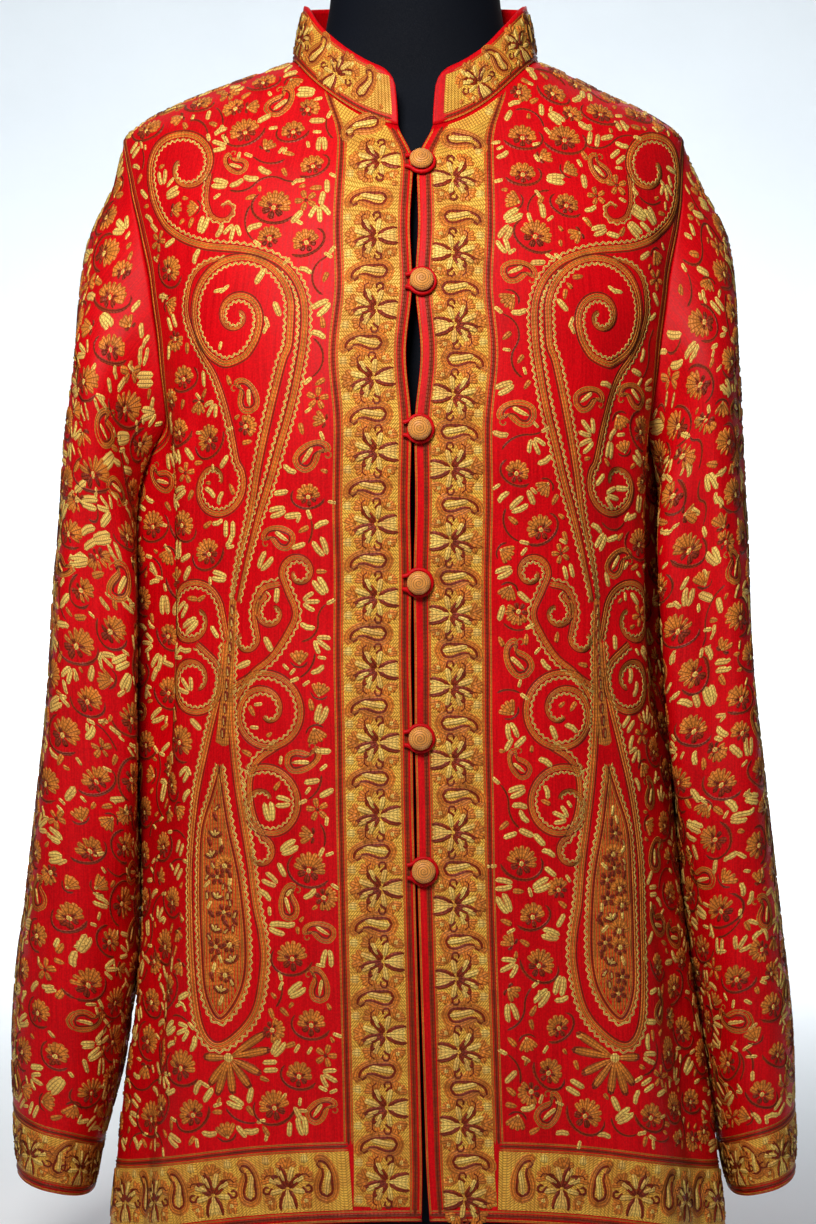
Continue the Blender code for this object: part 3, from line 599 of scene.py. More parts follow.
class Ground:
    """The outer face of one piece of cloth, as a lattice of points over pattern places in metres.

    A place is how far across the cloth and how far up it is. A sleeve's lattice closes on itself."""

    def __init__(self, points, start, step, around=False):
        self.points = points
        self.start = np.array(start, float)
        self.step = np.array(step, float)
        self.around = around
        self.normals, _ = outward_normals(points, around)

    def cell(self, places):
        """The row and columns of each place's lattice square, and the shares across and up it."""
        steps = (places - self.start) / self.step
        rows, columns = self.points.shape[:2]
        if self.around:
            column = np.floor(steps[:, 0]).astype(int)
            share_x = steps[:, 0] - column
            left, right = column % columns, (column + 1) % columns
        else:
            across = np.clip(steps[:, 0], 0, columns - 1.001)
            left = across.astype(int)
            share_x = across - left
            right = left + 1
        upward = np.clip(steps[:, 1], 0, rows - 1.001)
        low = upward.astype(int)
        return low, left, right, share_x[:, None], (upward - low)[:, None]

    def at(self, places):
        """Points and outward directions at pattern places."""
        cell = self.cell(places)
        return blended(self.points, *cell), unit(blended(self.normals, *cell))

    def frame(self, place):
        """A matrix that turns metres on the cloth, level and uphill, into steps between pattern places."""
        nudge = 0.004
        near = np.array([place, place + [nudge, 0], place + [0, nudge]])
        points, _ = self.at(near)
        across, upward = (points[1] - points[0]) / nudge, (points[2] - points[0]) / nudge
        length = max(np.linalg.norm(across), 1e-6)
        level = across / length
        lean = float(upward @ level)
        rise = max(np.linalg.norm(upward - lean * level), 1e-6)
        return np.array([[1 / length, -lean / (length * rise)], [0, 1 / rise]])


def body_ground(side, back):
    """The lattice of a front or of half the back, from the middle out to the side seam and beyond."""
    step = LATTICE_STEP
    heights = np.arange(LATTICE_LOW, LATTICE_HIGH, step)
    widths = np.arange(0, LATTICE_REACH, step)
    turns = math.pi - LATTICE_TURNS if back else LATTICE_TURNS
    along = lengths_over(body_point(turns[None], heights[:, None], side))
    turn_grid = np.array([np.interp(widths, row, turns) for row in along])
    return Ground(body_point(turn_grid, heights[:, None], side), (0, heights[0]), (step, step))


THREADS = ("gold", "light", "ochre", "rust")
SUNK = -0.0002  # the edges of each row of thread lie this far below the cloth's face
FIELD_LIFT = 0.00028


class Needlework:
    """Rows of thread gathered for one piece of cloth, to be made into one mesh for each thread."""

    def __init__(self, ground):
        self.ground = ground
        self.rows = {thread: [] for thread in THREADS}
        self.fields = []

    def row(self, thread, path, width, rise=0.0008, base=0.0, closed=False):
        """One row of thread along a path of pattern places, with its width and height in metres."""
        path = np.asarray(path, float)
        count = len(path)
        if count < 2:
            return
        if closed:
            ahead = np.roll(path, -1, axis=0) - np.roll(path, 1, axis=0)
        else:
            ahead = np.gradient(path, axis=0)
        ahead = unit(ahead)
        sideways = np.stack([-ahead[:, 1], ahead[:, 0]], axis=1)
        half = np.broadcast_to(np.asarray(width, float) / 2, (count,))
        lift = np.full(count, rise + base)
        if not closed:
            lift[[0, -1]] = base * 0.5
            half = half.copy()
            half[[0, -1]] *= 0.55
        across = sideways * half[:, None]
        places = np.stack([path - across, path, path + across], axis=1)
        edge = np.full(count, SUNK + (base if base > 0.0003 else 0.0))
        lifts = np.stack([edge, lift, edge], axis=1)
        length = lengths_along(path)
        beside_middle = np.stack([-half, half * 0, half], axis=1)
        uv = np.stack([np.repeat(length[:, None], 3, axis=1), beside_middle], axis=2)
        self.rows[thread].append((places, lifts, uv, closed))

    def motif(self, rows, place, turn=0.0, size=1.0, base=0.0, flip=False):
        """Rows drawn in millimetres, laid at a place on the cloth, turned and scaled."""
        place = np.asarray(place, float)
        frame_here = self.ground.frame(place)
        cosine, sine = math.cos(turn), math.sin(turn)
        spin = np.array([[cosine, -sine], [sine, cosine]]) * (size * MM)
        if flip:
            spin = spin @ np.diag([-1.0, 1.0])
        matrix = frame_here @ spin
        for thread, path, width, closed, *lift in rows:
            laid = place + np.asarray(path, float) @ matrix.T
            own = base + sum(lift) * MM
            self.row(thread, laid, np.asarray(width, float) * size * MM, rise_of(width, size), own, closed)

    def finish(self, name, threads):
        """Makes one mesh for each gold field, and one for each thread that was used."""
        for k, (places, uv) in enumerate(self.fields):
            faces, _, _ = grid_faces(*places.shape[:2])
            self.stitched(f"ground_{k}_{name}", "gold", places, FIELD_LIFT, faces, uv, threads)
        for thread, rows in self.rows.items():
            if not rows:
                continue
            counts = [len(row[0]) for row in rows]
            starts = np.concatenate([[0], np.cumsum(counts)[:-1]])
            places, lifts, uv = (np.concatenate([row[k] for row in rows]) for k in range(3))
            first, second = [], []
            for start, count, (*_, closed) in zip(starts, counts, rows):
                index = np.arange(start, start + count)
                first.append(index if closed else index[:-1])
                second.append(np.roll(index, -1) if closed else index[1:])
            a, b = np.concatenate(first) * 3, np.concatenate(second) * 3
            faces = np.concatenate([np.stack([a + k, b + k, b + k + 1, a + k + 1], axis=1) for k in (0, 1)])
            title = f"{thread}_stitches_{name}"
            self.stitched(title, thread, places, lifts.reshape(-1, 1), faces, uv, threads)

    def stitched(self, title, thread, places, lifts, faces, uv, threads):
        """Makes a mesh of stitches, lifted off the cloth and with every face outward."""
        points, normals = self.ground.at(places.reshape(-1, 2))
        vertices = points + normals * lifts
        a, b, c = (vertices[faces[:, k]] for k in range(3))
        inward = (np.cross(b - a, c - b) * normals[faces[:, 0]]).sum(axis=1) < 0
        faces = np.where(inward[:, None], faces[:, ::-1], faces)
        piece = make_mesh(title, vertices, faces, uv.reshape(-1, 2)[faces])
        piece.data.materials.append(threads[thread])
        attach(piece, "root")


def rise_of(width, size):
    """How high a row of thread stands, from its width in millimetres."""
    return min(0.34 * float(np.max(width)) * size, 0.95) * MM


def curve_through(points, step):
    """A smooth line through a few places, with points about one step apart."""
    points = np.asarray(points, float)
    before = np.concatenate([[2 * points[0] - points[1]], points[:-1]])
    after = np.concatenate([points[1:], [2 * points[-1] - points[-2]]])
    tangents = (after - before) / 2
    line = []
    for k in range(len(points) - 1):
        a, b, ta, tb = points[k], points[k + 1], tangents[k], tangents[k + 1]
        u = np.linspace(0, 1, max(int(np.linalg.norm(b - a) / step * 2), 4), endpoint=False)[:, None]
        placed = a * (1 + 2 * u) * (1 - u) ** 2 + b * (3 - 2 * u) * u * u
        line.append(placed + ta * u * (1 - u) ** 2 - tb * u * u * (1 - u))
    line = np.concatenate(line + [points[-1:]])
    return respaced(line, step)


def respaced(line, step):
    """The same line with its points one step apart."""
    along = lengths_along(line)
    return places_on(line, along, np.linspace(0, along[-1], max(int(along[-1] / step), 2) + 1))


def curl(start, centre, turns, end_radius, ease=1.8):
    """Places on a spiral from a start round a centre. Positive turns go anticlockwise."""
    start, centre = np.asarray(start, float), np.asarray(centre, float)
    radius = np.linalg.norm(start - centre)
    angle = math.atan2(*(start - centre)[::-1])
    share = np.linspace(0, 1, int(abs(turns) * 24) + 4)
    angles = angle + 2 * math.pi * turns * share
    radii = radius + (end_radius - radius) * share**ease
    return centre + np.stack([np.cos(angles), np.sin(angles)], axis=1) * radii[:, None]


def coil(centre, knots):
    """Places on a coil round a centre, from angles in degrees and the radius at each."""
    angles, radii = np.array(knots, float).T
    order = np.argsort(angles)
    fine = np.linspace(angles[0], angles[-1], int(abs(angles[-1] - angles[0]) / 15) + 2)
    reach = through(angles[order], radii[order], fine)
    turns = np.radians(fine)
    return np.asarray(centre, float) + np.stack([np.cos(turns), np.sin(turns)], axis=1) * reach[:, None]


def beside(line, offset):
    """The line moved sideways, to its left by so much."""
    ahead = unit(np.gradient(line, axis=0))
    offset = np.broadcast_to(offset, (len(line),))[:, None]
    return line + np.stack([-ahead[:, 1], ahead[:, 0]], axis=1) * offset


def collar_frame(step=None):
    """The neckline from the right front edge round to the left one, and the way up the collar's face."""
    middle = ACROSS // 2 + 1
    front, back = half_panel(False)[-1, :middle], half_panel(True)[-1, :middle]
    parts = []
    for side in (-1, 1):
        f = body_point(front[:, 0], front[:, 1], side)
        b = body_point(back[:, 0], back[:, 1], side)
        half = np.concatenate([f, b[-2::-1]])
        parts.append(half if side < 0 else half[-2::-1])
    ring = np.concatenate(parts)
    along = lengths_along(ring)
    if step:
        wanted = np.arange(0, along[-1], step)
    else:
        ends = along[1] * np.array([0, 1 / 3, 2 / 3])
        wanted = np.concatenate([ends, along[1:-1], along[-1] - ends[::-1]])
    ring = places_on(ring, along, wanted)
    ahead = unit(np.gradient(ring, axis=0))
    outward = unit(np.cross(ahead, [0, 0, 1]))
    outward *= np.sign((outward * ring).sum(axis=1, keepdims=True))
    up = np.array([0, 0, math.cos(COLLAR_LEAN)]) - outward * math.sin(COLLAR_LEAN)
    return ring, wanted, np.minimum(wanted, along[-1] - wanted), up


def collar_points(ring, from_end, up, rises):
    """Points of the collar's outer face, so far up it from the neckline."""
    grid = ring[None] + rises[..., None] * up[None]
    share = np.clip(rises / COLLAR_HEIGHT, 0, 1)
    fade = np.exp(-from_end / COLLAR_PARTING_REACH)
    grid[..., 0] += COLLAR_PARTING * share**1.5 * np.sign(ring[:, 0]) * fade
    return grid


def collar_grid():
    """The collar's outer points, with rounded front corners, and their pattern places."""
    ring, along, from_end, up = collar_frame()
    short = np.clip(1 - from_end / COLLAR_CORNER, 0, 1)
    height = COLLAR_HEIGHT - COLLAR_CORNER * (1 - np.sqrt(1 - short**2))
    share = np.linspace(0, 1, COLLAR_ROWS + 1)[:, None]
    rises = 2 * SEAM + share * height[None]
    places = np.stack(np.broadcast_arrays(along[None], rises), axis=-1)
    return collar_points(ring, from_end, up, rises), places


def collar_ground():
    """The lattice of the collar's outer face."""
    step = COLLAR_LATTICE_STEP
    ring, _, from_end, up = collar_frame(step)
    rises = np.arange(0, COLLAR_HEIGHT + 0.004, step)[:, None] + np.zeros(len(ring))
    return Ground(collar_points(ring, from_end, up, rises), (0, 0), (step, step)), step * (len(ring) - 1)


def laid_flat(path, side, back):
    """Turns and heights as pattern places: how far from the middle, along the cloth, and the height."""
    turns, heights = path.T
    fine = LATTICE_TURNS
    around, turns = (math.pi - fine, math.pi - turns) if back else (fine, turns)
    along = lengths_over(body_point(around[None], heights[:, None], side))
    across = [np.interp(turn, fine, row) for turn, row in zip(turns, along)]
    return np.stack([across, heights], axis=1)


def inside(polygon, places):
    """Whether each place is inside a closed line of places."""
    x, y = places[..., 0], places[..., 1]
    within = np.zeros(x.shape, bool)
    for (x0, y0), (x1, y1) in zip(polygon, np.roll(polygon, -1, axis=0)):
        crossing = (y0 > y) != (y1 > y)
        rise = y1 - y0 if y1 != y0 else 1e-12
        within ^= crossing & (x < (x1 - x0) * (y - y0) / rise + x0)
    return within


class Room:
    """Where a piece of cloth is still free of stitches, as small cells measured along the cloth."""

    CELL = 0.0015
    MARGIN = 16

    def __init__(self, ground, allowed):
        self.ground = ground
        points = ground.points
        if ground.around:
            points = np.concatenate([points, points[:, :1]], axis=1)
        self.climb = lengths_over(points, 0)
        rows, columns = points.shape[:2]
        heights = ground.start[1] + ground.step[1] * np.arange(rows)
        rim = self.CELL * self.MARGIN
        self.low = np.array([ground.start[0] - rim, -rim])
        x = np.arange(self.low[0], ground.start[0] + ground.step[0] * (columns - 1) + rim, self.CELL)
        y = np.arange(-rim, self.climb.max() + rim, self.CELL)
        self.places = np.empty((len(y), len(x), 2))
        self.places[..., 0] = x
        for k, value in enumerate(x):
            column = np.clip((value - ground.start[0]) / ground.step[0], 0, columns - 1.001)
            left = int(column)
            lengths = self.climb[:, left] + (column - left) * (self.climb[:, left + 1] - self.climb[:, left])
            self.places[:, k, 1] = np.interp(y, lengths, heights)
        inner = slice(self.MARGIN, -self.MARGIN)
        self.free = np.zeros(self.places.shape[:2], bool)
        self.free[inner, inner] = allowed(self.places)[inner, inner]

    def cells(self, places):
        """The row and column of the cell at each pattern place."""
        rows, columns = self.climb.shape
        across = np.clip((places[:, 0] - self.ground.start[0]) / self.ground.step[0], 0, columns - 1.001)
        upward = np.clip((places[:, 1] - self.ground.start[1]) / self.ground.step[1], 0, rows - 1.001)
        i, j = across.astype(int), upward.astype(int)
        climb = blended(self.climb, j, i, i + 1, across - i, upward - j)
        spots = np.stack([climb - self.low[1], places[:, 0] - self.low[0]], axis=1) / self.CELL
        return np.round(spots).astype(int)

    def near(self, row, column, reach):
        """Which cells are free round one of them, out to a reach."""
        return self.free[row - reach : row + reach + 1, column - reach : column + reach + 1]

    def disc(self, radius):
        """The cells of a disc, counted from its middle."""
        reach = min(int(math.ceil(radius / self.CELL)), self.MARGIN)
        y, x = np.mgrid[-reach : reach + 1, -reach : reach + 1]
        return reach, (x * x + y * y) * self.CELL**2 <= radius**2

    def clear(self, spots, radius):
        """Marks discs round some cells as full."""
        reach, disc = self.disc(radius)
        rows, columns = self.free.shape
        for row, column in spots:
            if reach <= row < rows - reach and reach <= column < columns - reach:
                self.near(row, column, reach)[disc] = False

    def take(self, places, radius):
        """Marks discs round pattern places as full."""
        self.clear(self.cells(np.atleast_2d(places)), radius)

    def scatter(self, needle, chance, motifs, radius, tries, lean):
        """Lays motifs at random free places, each at least so far from everything else."""
        spots = np.argwhere(self.free)
        if not len(spots):
            return
        reach, disc = self.disc(radius)
        for row, column in spots[chance.integers(len(spots), size=tries)]:
            if self.near(row, column, reach)[disc].all():
                rows = motifs[chance.integers(len(motifs))]
                turn, size = chance.uniform(-lean, lean), chance.uniform(0.94, 1.1)
                needle.motif(rows, self.places[row, column], turn, size, flip=chance.random() < 0.5)
                self.clear([(row, column)], radius)


PETAL = np.array([(0.0, 0.35), (0.22, 0.72), (0.5, 0.98), (0.78, 1.0), (0.94, 0.72), (1.0, 0.4)])
BLADE = np.array([(0.0, 0.55), (0.16, 0.9), (0.5, 1.0), (0.84, 0.92), (1.0, 0.55)])


def petal(start, turn, length, width, thread, bend=0.0, profile=PETAL):
    """A rounded petal or leaf from a start, at a turn clockwise from straight up, in millimetres."""
    share, swell = profile.T
    turns = turn + bend * share
    ways = np.stack([np.sin(turns), np.cos(turns)], axis=1)
    return thread, np.asarray(start, float) + (share * length)[:, None] * ways, width * swell, False


def blade(start, turn, length, width, thread, bend=0.0):
    """A slim leaf with rounded ends."""
    return petal(start, turn, length, width, thread, bend, BLADE)


def dot(centre, size, thread):
    """A small round of stitches."""
    x, y = centre
    path = np.array([[x, y - size / 2], [x, y - size / 5], [x, y + size / 5], [x, y + size / 2]])
    return thread, path, size * np.array([0.6, 1.0, 1.0, 0.6]), False


def vine(points, width, step):
    """A thin stem through a few places, narrowed at its end."""
    path = curve_through(points, step)
    share = np.linspace(0, 1, len(path))
    return "rust", path, width * (1 - 0.35 * share), False


def fan_flower(petals, reach, spread=1.4):
    """A fan of scalloped petals from a light dot, with a dark half moon behind it."""
    rows = []
    for turn in np.linspace(-2.1, 2.1, 5) + math.pi:
        start = 1.6 * np.array([math.sin(turn), math.cos(turn)])
        length = reach * (0.62 if abs(turn - math.pi) < 1.5 else 0.5)
        rows.append(petal(start, turn, length - 1.6, reach * 0.42, "rust"))
    for turn in np.linspace(-spread, spread, petals):
        length = reach * (1 - 0.12 * (abs(turn) / spread) ** 2) - 2.4
        start = 2.4 * np.array([math.sin(turn), math.cos(turn)])
        rows.append(petal(start, turn, length, 2 * spread / (petals - 1) * reach * 0.90, "ochre"))
    rows.append(dot((0, 0.2), 3.6, "light"))
    return rows


def wedge_flower(reach):
    """A small fan of four petals on a bowed dark stem."""
    rows = [petal((0, 0), turn, reach, reach * 0.44, "ochre") for turn in (-0.66, -0.22, 0.22, 0.66)]
    stem = [(-reach * 0.62, 1.4), (-reach * 0.3, -1.6), (reach * 0.3, -1.6), (reach * 0.66, 1.8)]
    rows.append(vine(stem, 2.0, 2.0))
    rows.append(dot((0, 0.6), 2.6, "light"))
    return rows


def vined_fan(petals, reach):
    """A fan flower with a stem that runs round it."""
    rows = fan_flower(petals, reach)
    arc = np.linspace(-2.2, 1.2, 12) + math.pi
    ring = np.stack([np.sin(arc) * (reach + 2.4), np.cos(arc) * (reach - 1.0) + 1.0], axis=1)
    rows.append(("rust", ring, np.linspace(1.8, 2.6, 12), False))
    for turn in (-1.9, 2.6):
        start = (math.sin(turn) * (reach + 4), math.cos(turn) * (reach + 3))
        rows.append(blade(start, turn, 6.5, 3.0, "light"))
    return rows


DROP = ((0.0, -10.5), (5.6, -8.4), (7.4, -3.0), (5.8, 2.2), (3.2, 6.0), (3.4, 9.2), (6.8, 10.6), (4.6, 13.0))
DROP += ((-0.6, 12.0), (-4.8, 7.4), (-7.2, 1.4), (-7.2, -4.2), (-5.0, -8.8), (0.0, -10.5))


def rings_inside(outline, middle, insets, scale, least):
    """Closed rows inside an outline: how far in from it, how wide, and their thread."""
    away = outline - middle
    length = np.linalg.norm(away, axis=1, keepdims=True)
    rows = []
    for inset, width, thread in insets:
        inner = middle + away * np.maximum(1 - inset * scale / length, least)
        rows.append((thread, inner, width * scale, True))
    return rows


def bent_drop(scale=1.0, slim=1.0):
    """A bent drop of doubled rings round a light bar."""
    both = [scale * slim, scale]
    outline = curve_through(np.array(DROP) * both, 2.2)[:-1]
    rows = [("ochre", outline, 1.7 * scale, True)]
    insets = ((1.8, 1.7, "ochre"), (3.5, 1.6, "rust"))
    rows += rings_inside(outline, np.array([-0.6, -1.0]) * scale, insets, scale, 0.12)
    foot = np.array([0.2, -6.5]) * scale
    rows.append(petal(foot, -0.12, 11.5 * scale, 3.6 * scale * slim, "light", bend=-0.1))
    tail = curl(np.array([6.8, 10.6]) * both, np.array([7.6, 8.4]) * both, -0.7, 1.0)
    rows.append(("ochre", tail[::3], 1.4 * scale, False))
    return rows


def round_flower(reach, thread, heart):
    """A small flower with five rounded petals."""
    rows = []
    for k in range(5):
        turn = 2 * math.pi * k / 5
        start = (1.2 * math.sin(turn), 1.2 * math.cos(turn))
        rows.append(petal(start, turn, reach - 1.2, reach * 0.62, thread))
    rows.append(dot((0, 0), 2.8, heart))
    return rows


def tulip():
    """A three-lobed bud on a dark cup."""
    rows = [petal((0, 0), turn, 8.5, 4.4, "ochre") for turn in (-0.62, 0.0, 0.62)]
    rows.append(petal((-0.6, -0.4), -2.0, 4.2, 2.6, "rust", bend=0.6))
    rows.append(petal((0.6, -0.4), 2.0, 4.2, 2.6, "rust", bend=-0.6))
    rows.append(dot((0, 0.6), 2.6, "light"))
    return rows


def leaf_pair(length, width, spread):
    """Two leaves from one foot."""
    return [blade((way * 0.8, 0), way * spread, length, width, "light", bend=-way * 0.25) for way in (-1, 1)]


def leaf_triple():
    """Three leaves from one foot."""
    return leaf_pair(9.6, 4.0, 0.85) + [blade((0, 0.8), 0, 11.0, 4.2, "light")]


def twin_leaves():
    """Two leaves side by side."""
    return [blade(start, 0.1, 10.5, 4.3, "light") for start in ((-2.5, -4.5), (2.5, -5.2))]


def lowered(rows, by):
    """The rows of a motif moved down, in millimetres."""
    return [(thread, path - [0, by], *rest) for thread, path, *rest in rows]


STEM_STEP = 0.002
MOST_STEM_STEPS = 52
FEWEST_STEM_PLACES = 9
STEM_WIDTH = 0.0021


def wander(needle, room, chance, count, leaf):
    """Dark stems that wind through the free cloth and end in a leaf."""
    for _ in range(count):
        spots = np.argwhere(room.free)
        place = room.places[tuple(spots[chance.integers(len(spots))])].copy()
        heading, bend = chance.uniform(0, 2 * math.pi), chance.choice([-1, 1]) * chance.uniform(0.10, 0.17)
        turn_every = chance.integers(9, 17)
        path = [place.copy()]
        for k in range(MOST_STEM_STEPS):
            heading += bend
            if k % turn_every == turn_every - 1:
                bend = -bend
            place = place + STEM_STEP * np.array([math.cos(heading), math.sin(heading)])
            row, column = room.cells(place[None])[0]
            if not room.near(row, column, 1).all():
                break
            path.append(place.copy())
        if len(path) < FEWEST_STEM_PLACES:
            continue
        path = np.array(path)
        needle.row("rust", path, STEM_WIDTH * np.linspace(1.0, 0.75, len(path)), 0.0006)
        room.take(path, 0.0019)
        needle.motif(leaf, path[-1], heading - QUARTER_TURN)


def fill_cloth(needle, room, chance):
    """Fills the free cloth with flowers, drops, stems and leaves, the large ones first."""
    fans = [lowered(vined_fan(n, reach), 2) for n, reach in ((8, 12.0), (7, 10.4), (8, 11.2), (6, 9.6))]
    drops = [lowered(bent_drop(*shape), 1) for shape in ((1.0, 1.0), (0.92, 0.9), (1.04, 0.94))]
    flowers = [lowered(wedge_flower(9.6), 4), lowered(wedge_flower(9), 4), round_flower(7.2, "ochre", "rust")]
    flowers += [lowered(tulip(), 3.6), lowered(fan_flower(6, 9.0, spread=1.3), 1.6)]
    pairs = [lowered(leaf_pair(11.6, 4.5, 0.42), 5), lowered(leaf_triple(), 5), twin_leaves()]
    pairs += [lowered(leaf_pair(12.4, 4.8, 0.34), 5)] * 2
    singles = [[blade((0, -5), 0, 10.5, 4.8, "light")], [blade((0, -4.5), 0.2, 10, 4.5, "light", bend=-0.6)]]
    singles += [[petal((0, -3.8), 0, 7.6, 4.2, "ochre")]]
    specks = [[blade((0, -3), 0, 6, 2.8, "light")], [petal((0, -2.4), 0, 4.8, 3.2, "ochre")]]
    room.scatter(needle, chance, fans, 0.0137, 700, 0.9)
    room.scatter(needle, chance, drops, 0.0111, 700, 1.4)
    wander(needle, room, chance, 240, [blade((0, 0), 0, 7, 3.4, "light")])
    room.scatter(needle, chance, flowers, 0.0070, 2500, 3.1)
    room.scatter(needle, chance, pairs, 0.0055, 8000, 3.1)
    room.scatter(needle, chance, singles, 0.0041, 8000, 3.1)
    room.scatter(needle, chance, specks, 0.0032, 2500, 3.1)


# The paisley, in millimetres from the body's middle and above the floor. Coils are angles and radii.
SCROLL_ROWS = ((-4.0, 1.7, "rust"), (-1.9, 2.4, "ochre"), (0.4, 2.4, "ochre"), (2.0, 0.9, "rust"))


def scroll(needle, room, path, inner=1, size=1.0, end_taper=45.0, start_taper=0.0):
    """A band of rows on a path: a dark edge, two broad rows, and a light zigzag at its left."""
    path = respaced(np.asarray(path, float), 2.0)
    along = lengths_along(path)
    taper = size * (0.42 + 0.58 * smooth((along[-1] - along) / end_taper))
    if start_taper:
        taper = taper * (0.45 + 0.55 * smooth(along / start_taper))
    for offset, width, thread in SCROLL_ROWS:
        line = beside(path, inner * offset * taper)
        needle.row(thread, line * MM, width * taper * MM, rise_of(width, size))
    zigzag(needle, path, inner * 3.7 * taper, 0.4 + 0.6 * size)
    room.take(path * MM, 0.0062 * size)


def zigzag(needle, path, offset, size=1.0):
    """A light row that swings from side to side beside a path in millimetres."""
    along = lengths_along(path)
    fine = np.arange(0, along[-1], 1.2)
    place = places_on(path, along, fine)
    away = np.interp(fine, along, np.broadcast_to(offset, along.shape))
    swing = 0.9 * size * np.sin(fine * 2 * math.pi / 4.8)
    needle.row("light", beside(place, away + swing) * MM, 1.9 * size * MM, 0.0006)


def line_of(points, *curls):
    """A smooth path through places in millimetres, that may end in a spiral."""
    for points_of_curl in curls:
        points = np.concatenate([np.asarray(points, float), points_of_curl[1:]])
    return curve_through(points, 2.0)


CREST = ((117, 455), (110, 482), (101, 510), (93, 532), (86, 555), (79, 578), (74, 600), (70, 625), (70, 648))
CREST += ((76, 664), (86, 675), (98, 681), (112, 685), (128, 687), (141, 689), (156, 694))
CREST_COIL = ((-73, 44), (-23, 30), (30, 25), (90, 20.5), (160, 20), (223, 18), (259, 15), (294, 12))
CREST_COIL += ((330, 8), (400, 3))
HOOK = ((138, 738), (140, 727), (140, 717))
HOOK_COIL = ((-15, 11.4), (-60, 8.5), (-135, 6.5), (-190, 6), (-243, 4.5), (-340, 2))
HEAD_INNER = ((122, 456), (117, 482), (109, 510), (103, 540), (96, 570))
HEAD_LOOP = ((230, 45), (187, 35), (111, 35.5), (20, 34), (-44, 34.6), (-74, 34))
HEAD_COIL = ((-100, 27), (-124, 21.5), (-155, 17), (-228, 13.5), (-311, 10.8), (-389, 9.8), (-473, 7.6))
HEAD_COIL += ((-600, 2.5),)
HEAD_LEAVES = (((122, 661), 2.2), ((134, 657), -1.4), ((98, 628), -0.4), ((94, 632), 0.4), ((172, 730), -0.7))
HEAD_OUTER = ((125, 679), (138, 677), (148, 671), (154, 661), (157, 645), (153, 630), (145, 616), (136, 604))
HEAD_OUTER += ((129, 588), (123, 568), (118, 546))
LOBE = ((121, 450), (121, 430), (122, 400), (121, 370), (118, 340), (114, 313), (110, 287), (107, 261))
LOBE += ((103, 241), (102, 222), (108, 193), (122, 175), (136, 168), (146, 177), (151, 200), (155, 246))
LOBE += ((157, 285), (152, 325), (142, 362), (131, 400), (127, 430))
LOBE_INNER = ((131, 350), (125, 313), (117, 274), (114, 228), (119, 202), (133, 185), (143, 201), (146, 233))
LOBE_INNER += ((148, 273), (147, 306), (138, 331), (131, 350))
LOBE_NECK = ((121, 458), (122, 436), (124, 412), (126, 388), (129, 362))
LOBE_ROWS = ((-1.2, 2.3, "ochre"), (1.0, 2.2, "ochre"), (2.8, 1.3, "rust"))
LOBE_INNER_ROWS = ((-0.9, 2.2, "ochre"), (1.0, 1.8, "rust"), (2.6, 1.8, "ochre"))
FAN_TIPS = ((104, 177), (101, 167), (107, 152), (114, 143), (125, 139), (135, 138), (140, 144), (144, 161))
SIDE_SCROLLS = (
    (((126, 430), (130, 450)), ((152, 446), -1.1, 6)),
    (((150, 428), (137, 418)), ((151, 403), 1.3, 5)),
    (((118, 392), (106, 408), (92, 419), (81, 434), (75, 448), (80, 462), (84, 472)), ((74, 474), 1.1, 2.5)),
    (((124, 398), (112, 404)), ((97, 384), 1.7, 2)),
    (((86, 468), (99, 464), (105, 450), (103, 436)), ((111, 432), 0.7, 4)),
    (((98, 462), (96, 458)), ((92, 449), -0.9, 3)),
    (((88, 364), (104, 353), (110, 338), (108, 318), (101, 303)), ((104, 294), 0.8, 4)),
    (((112, 350), (108, 346)), ((98, 325), 1.2, 4)),
)


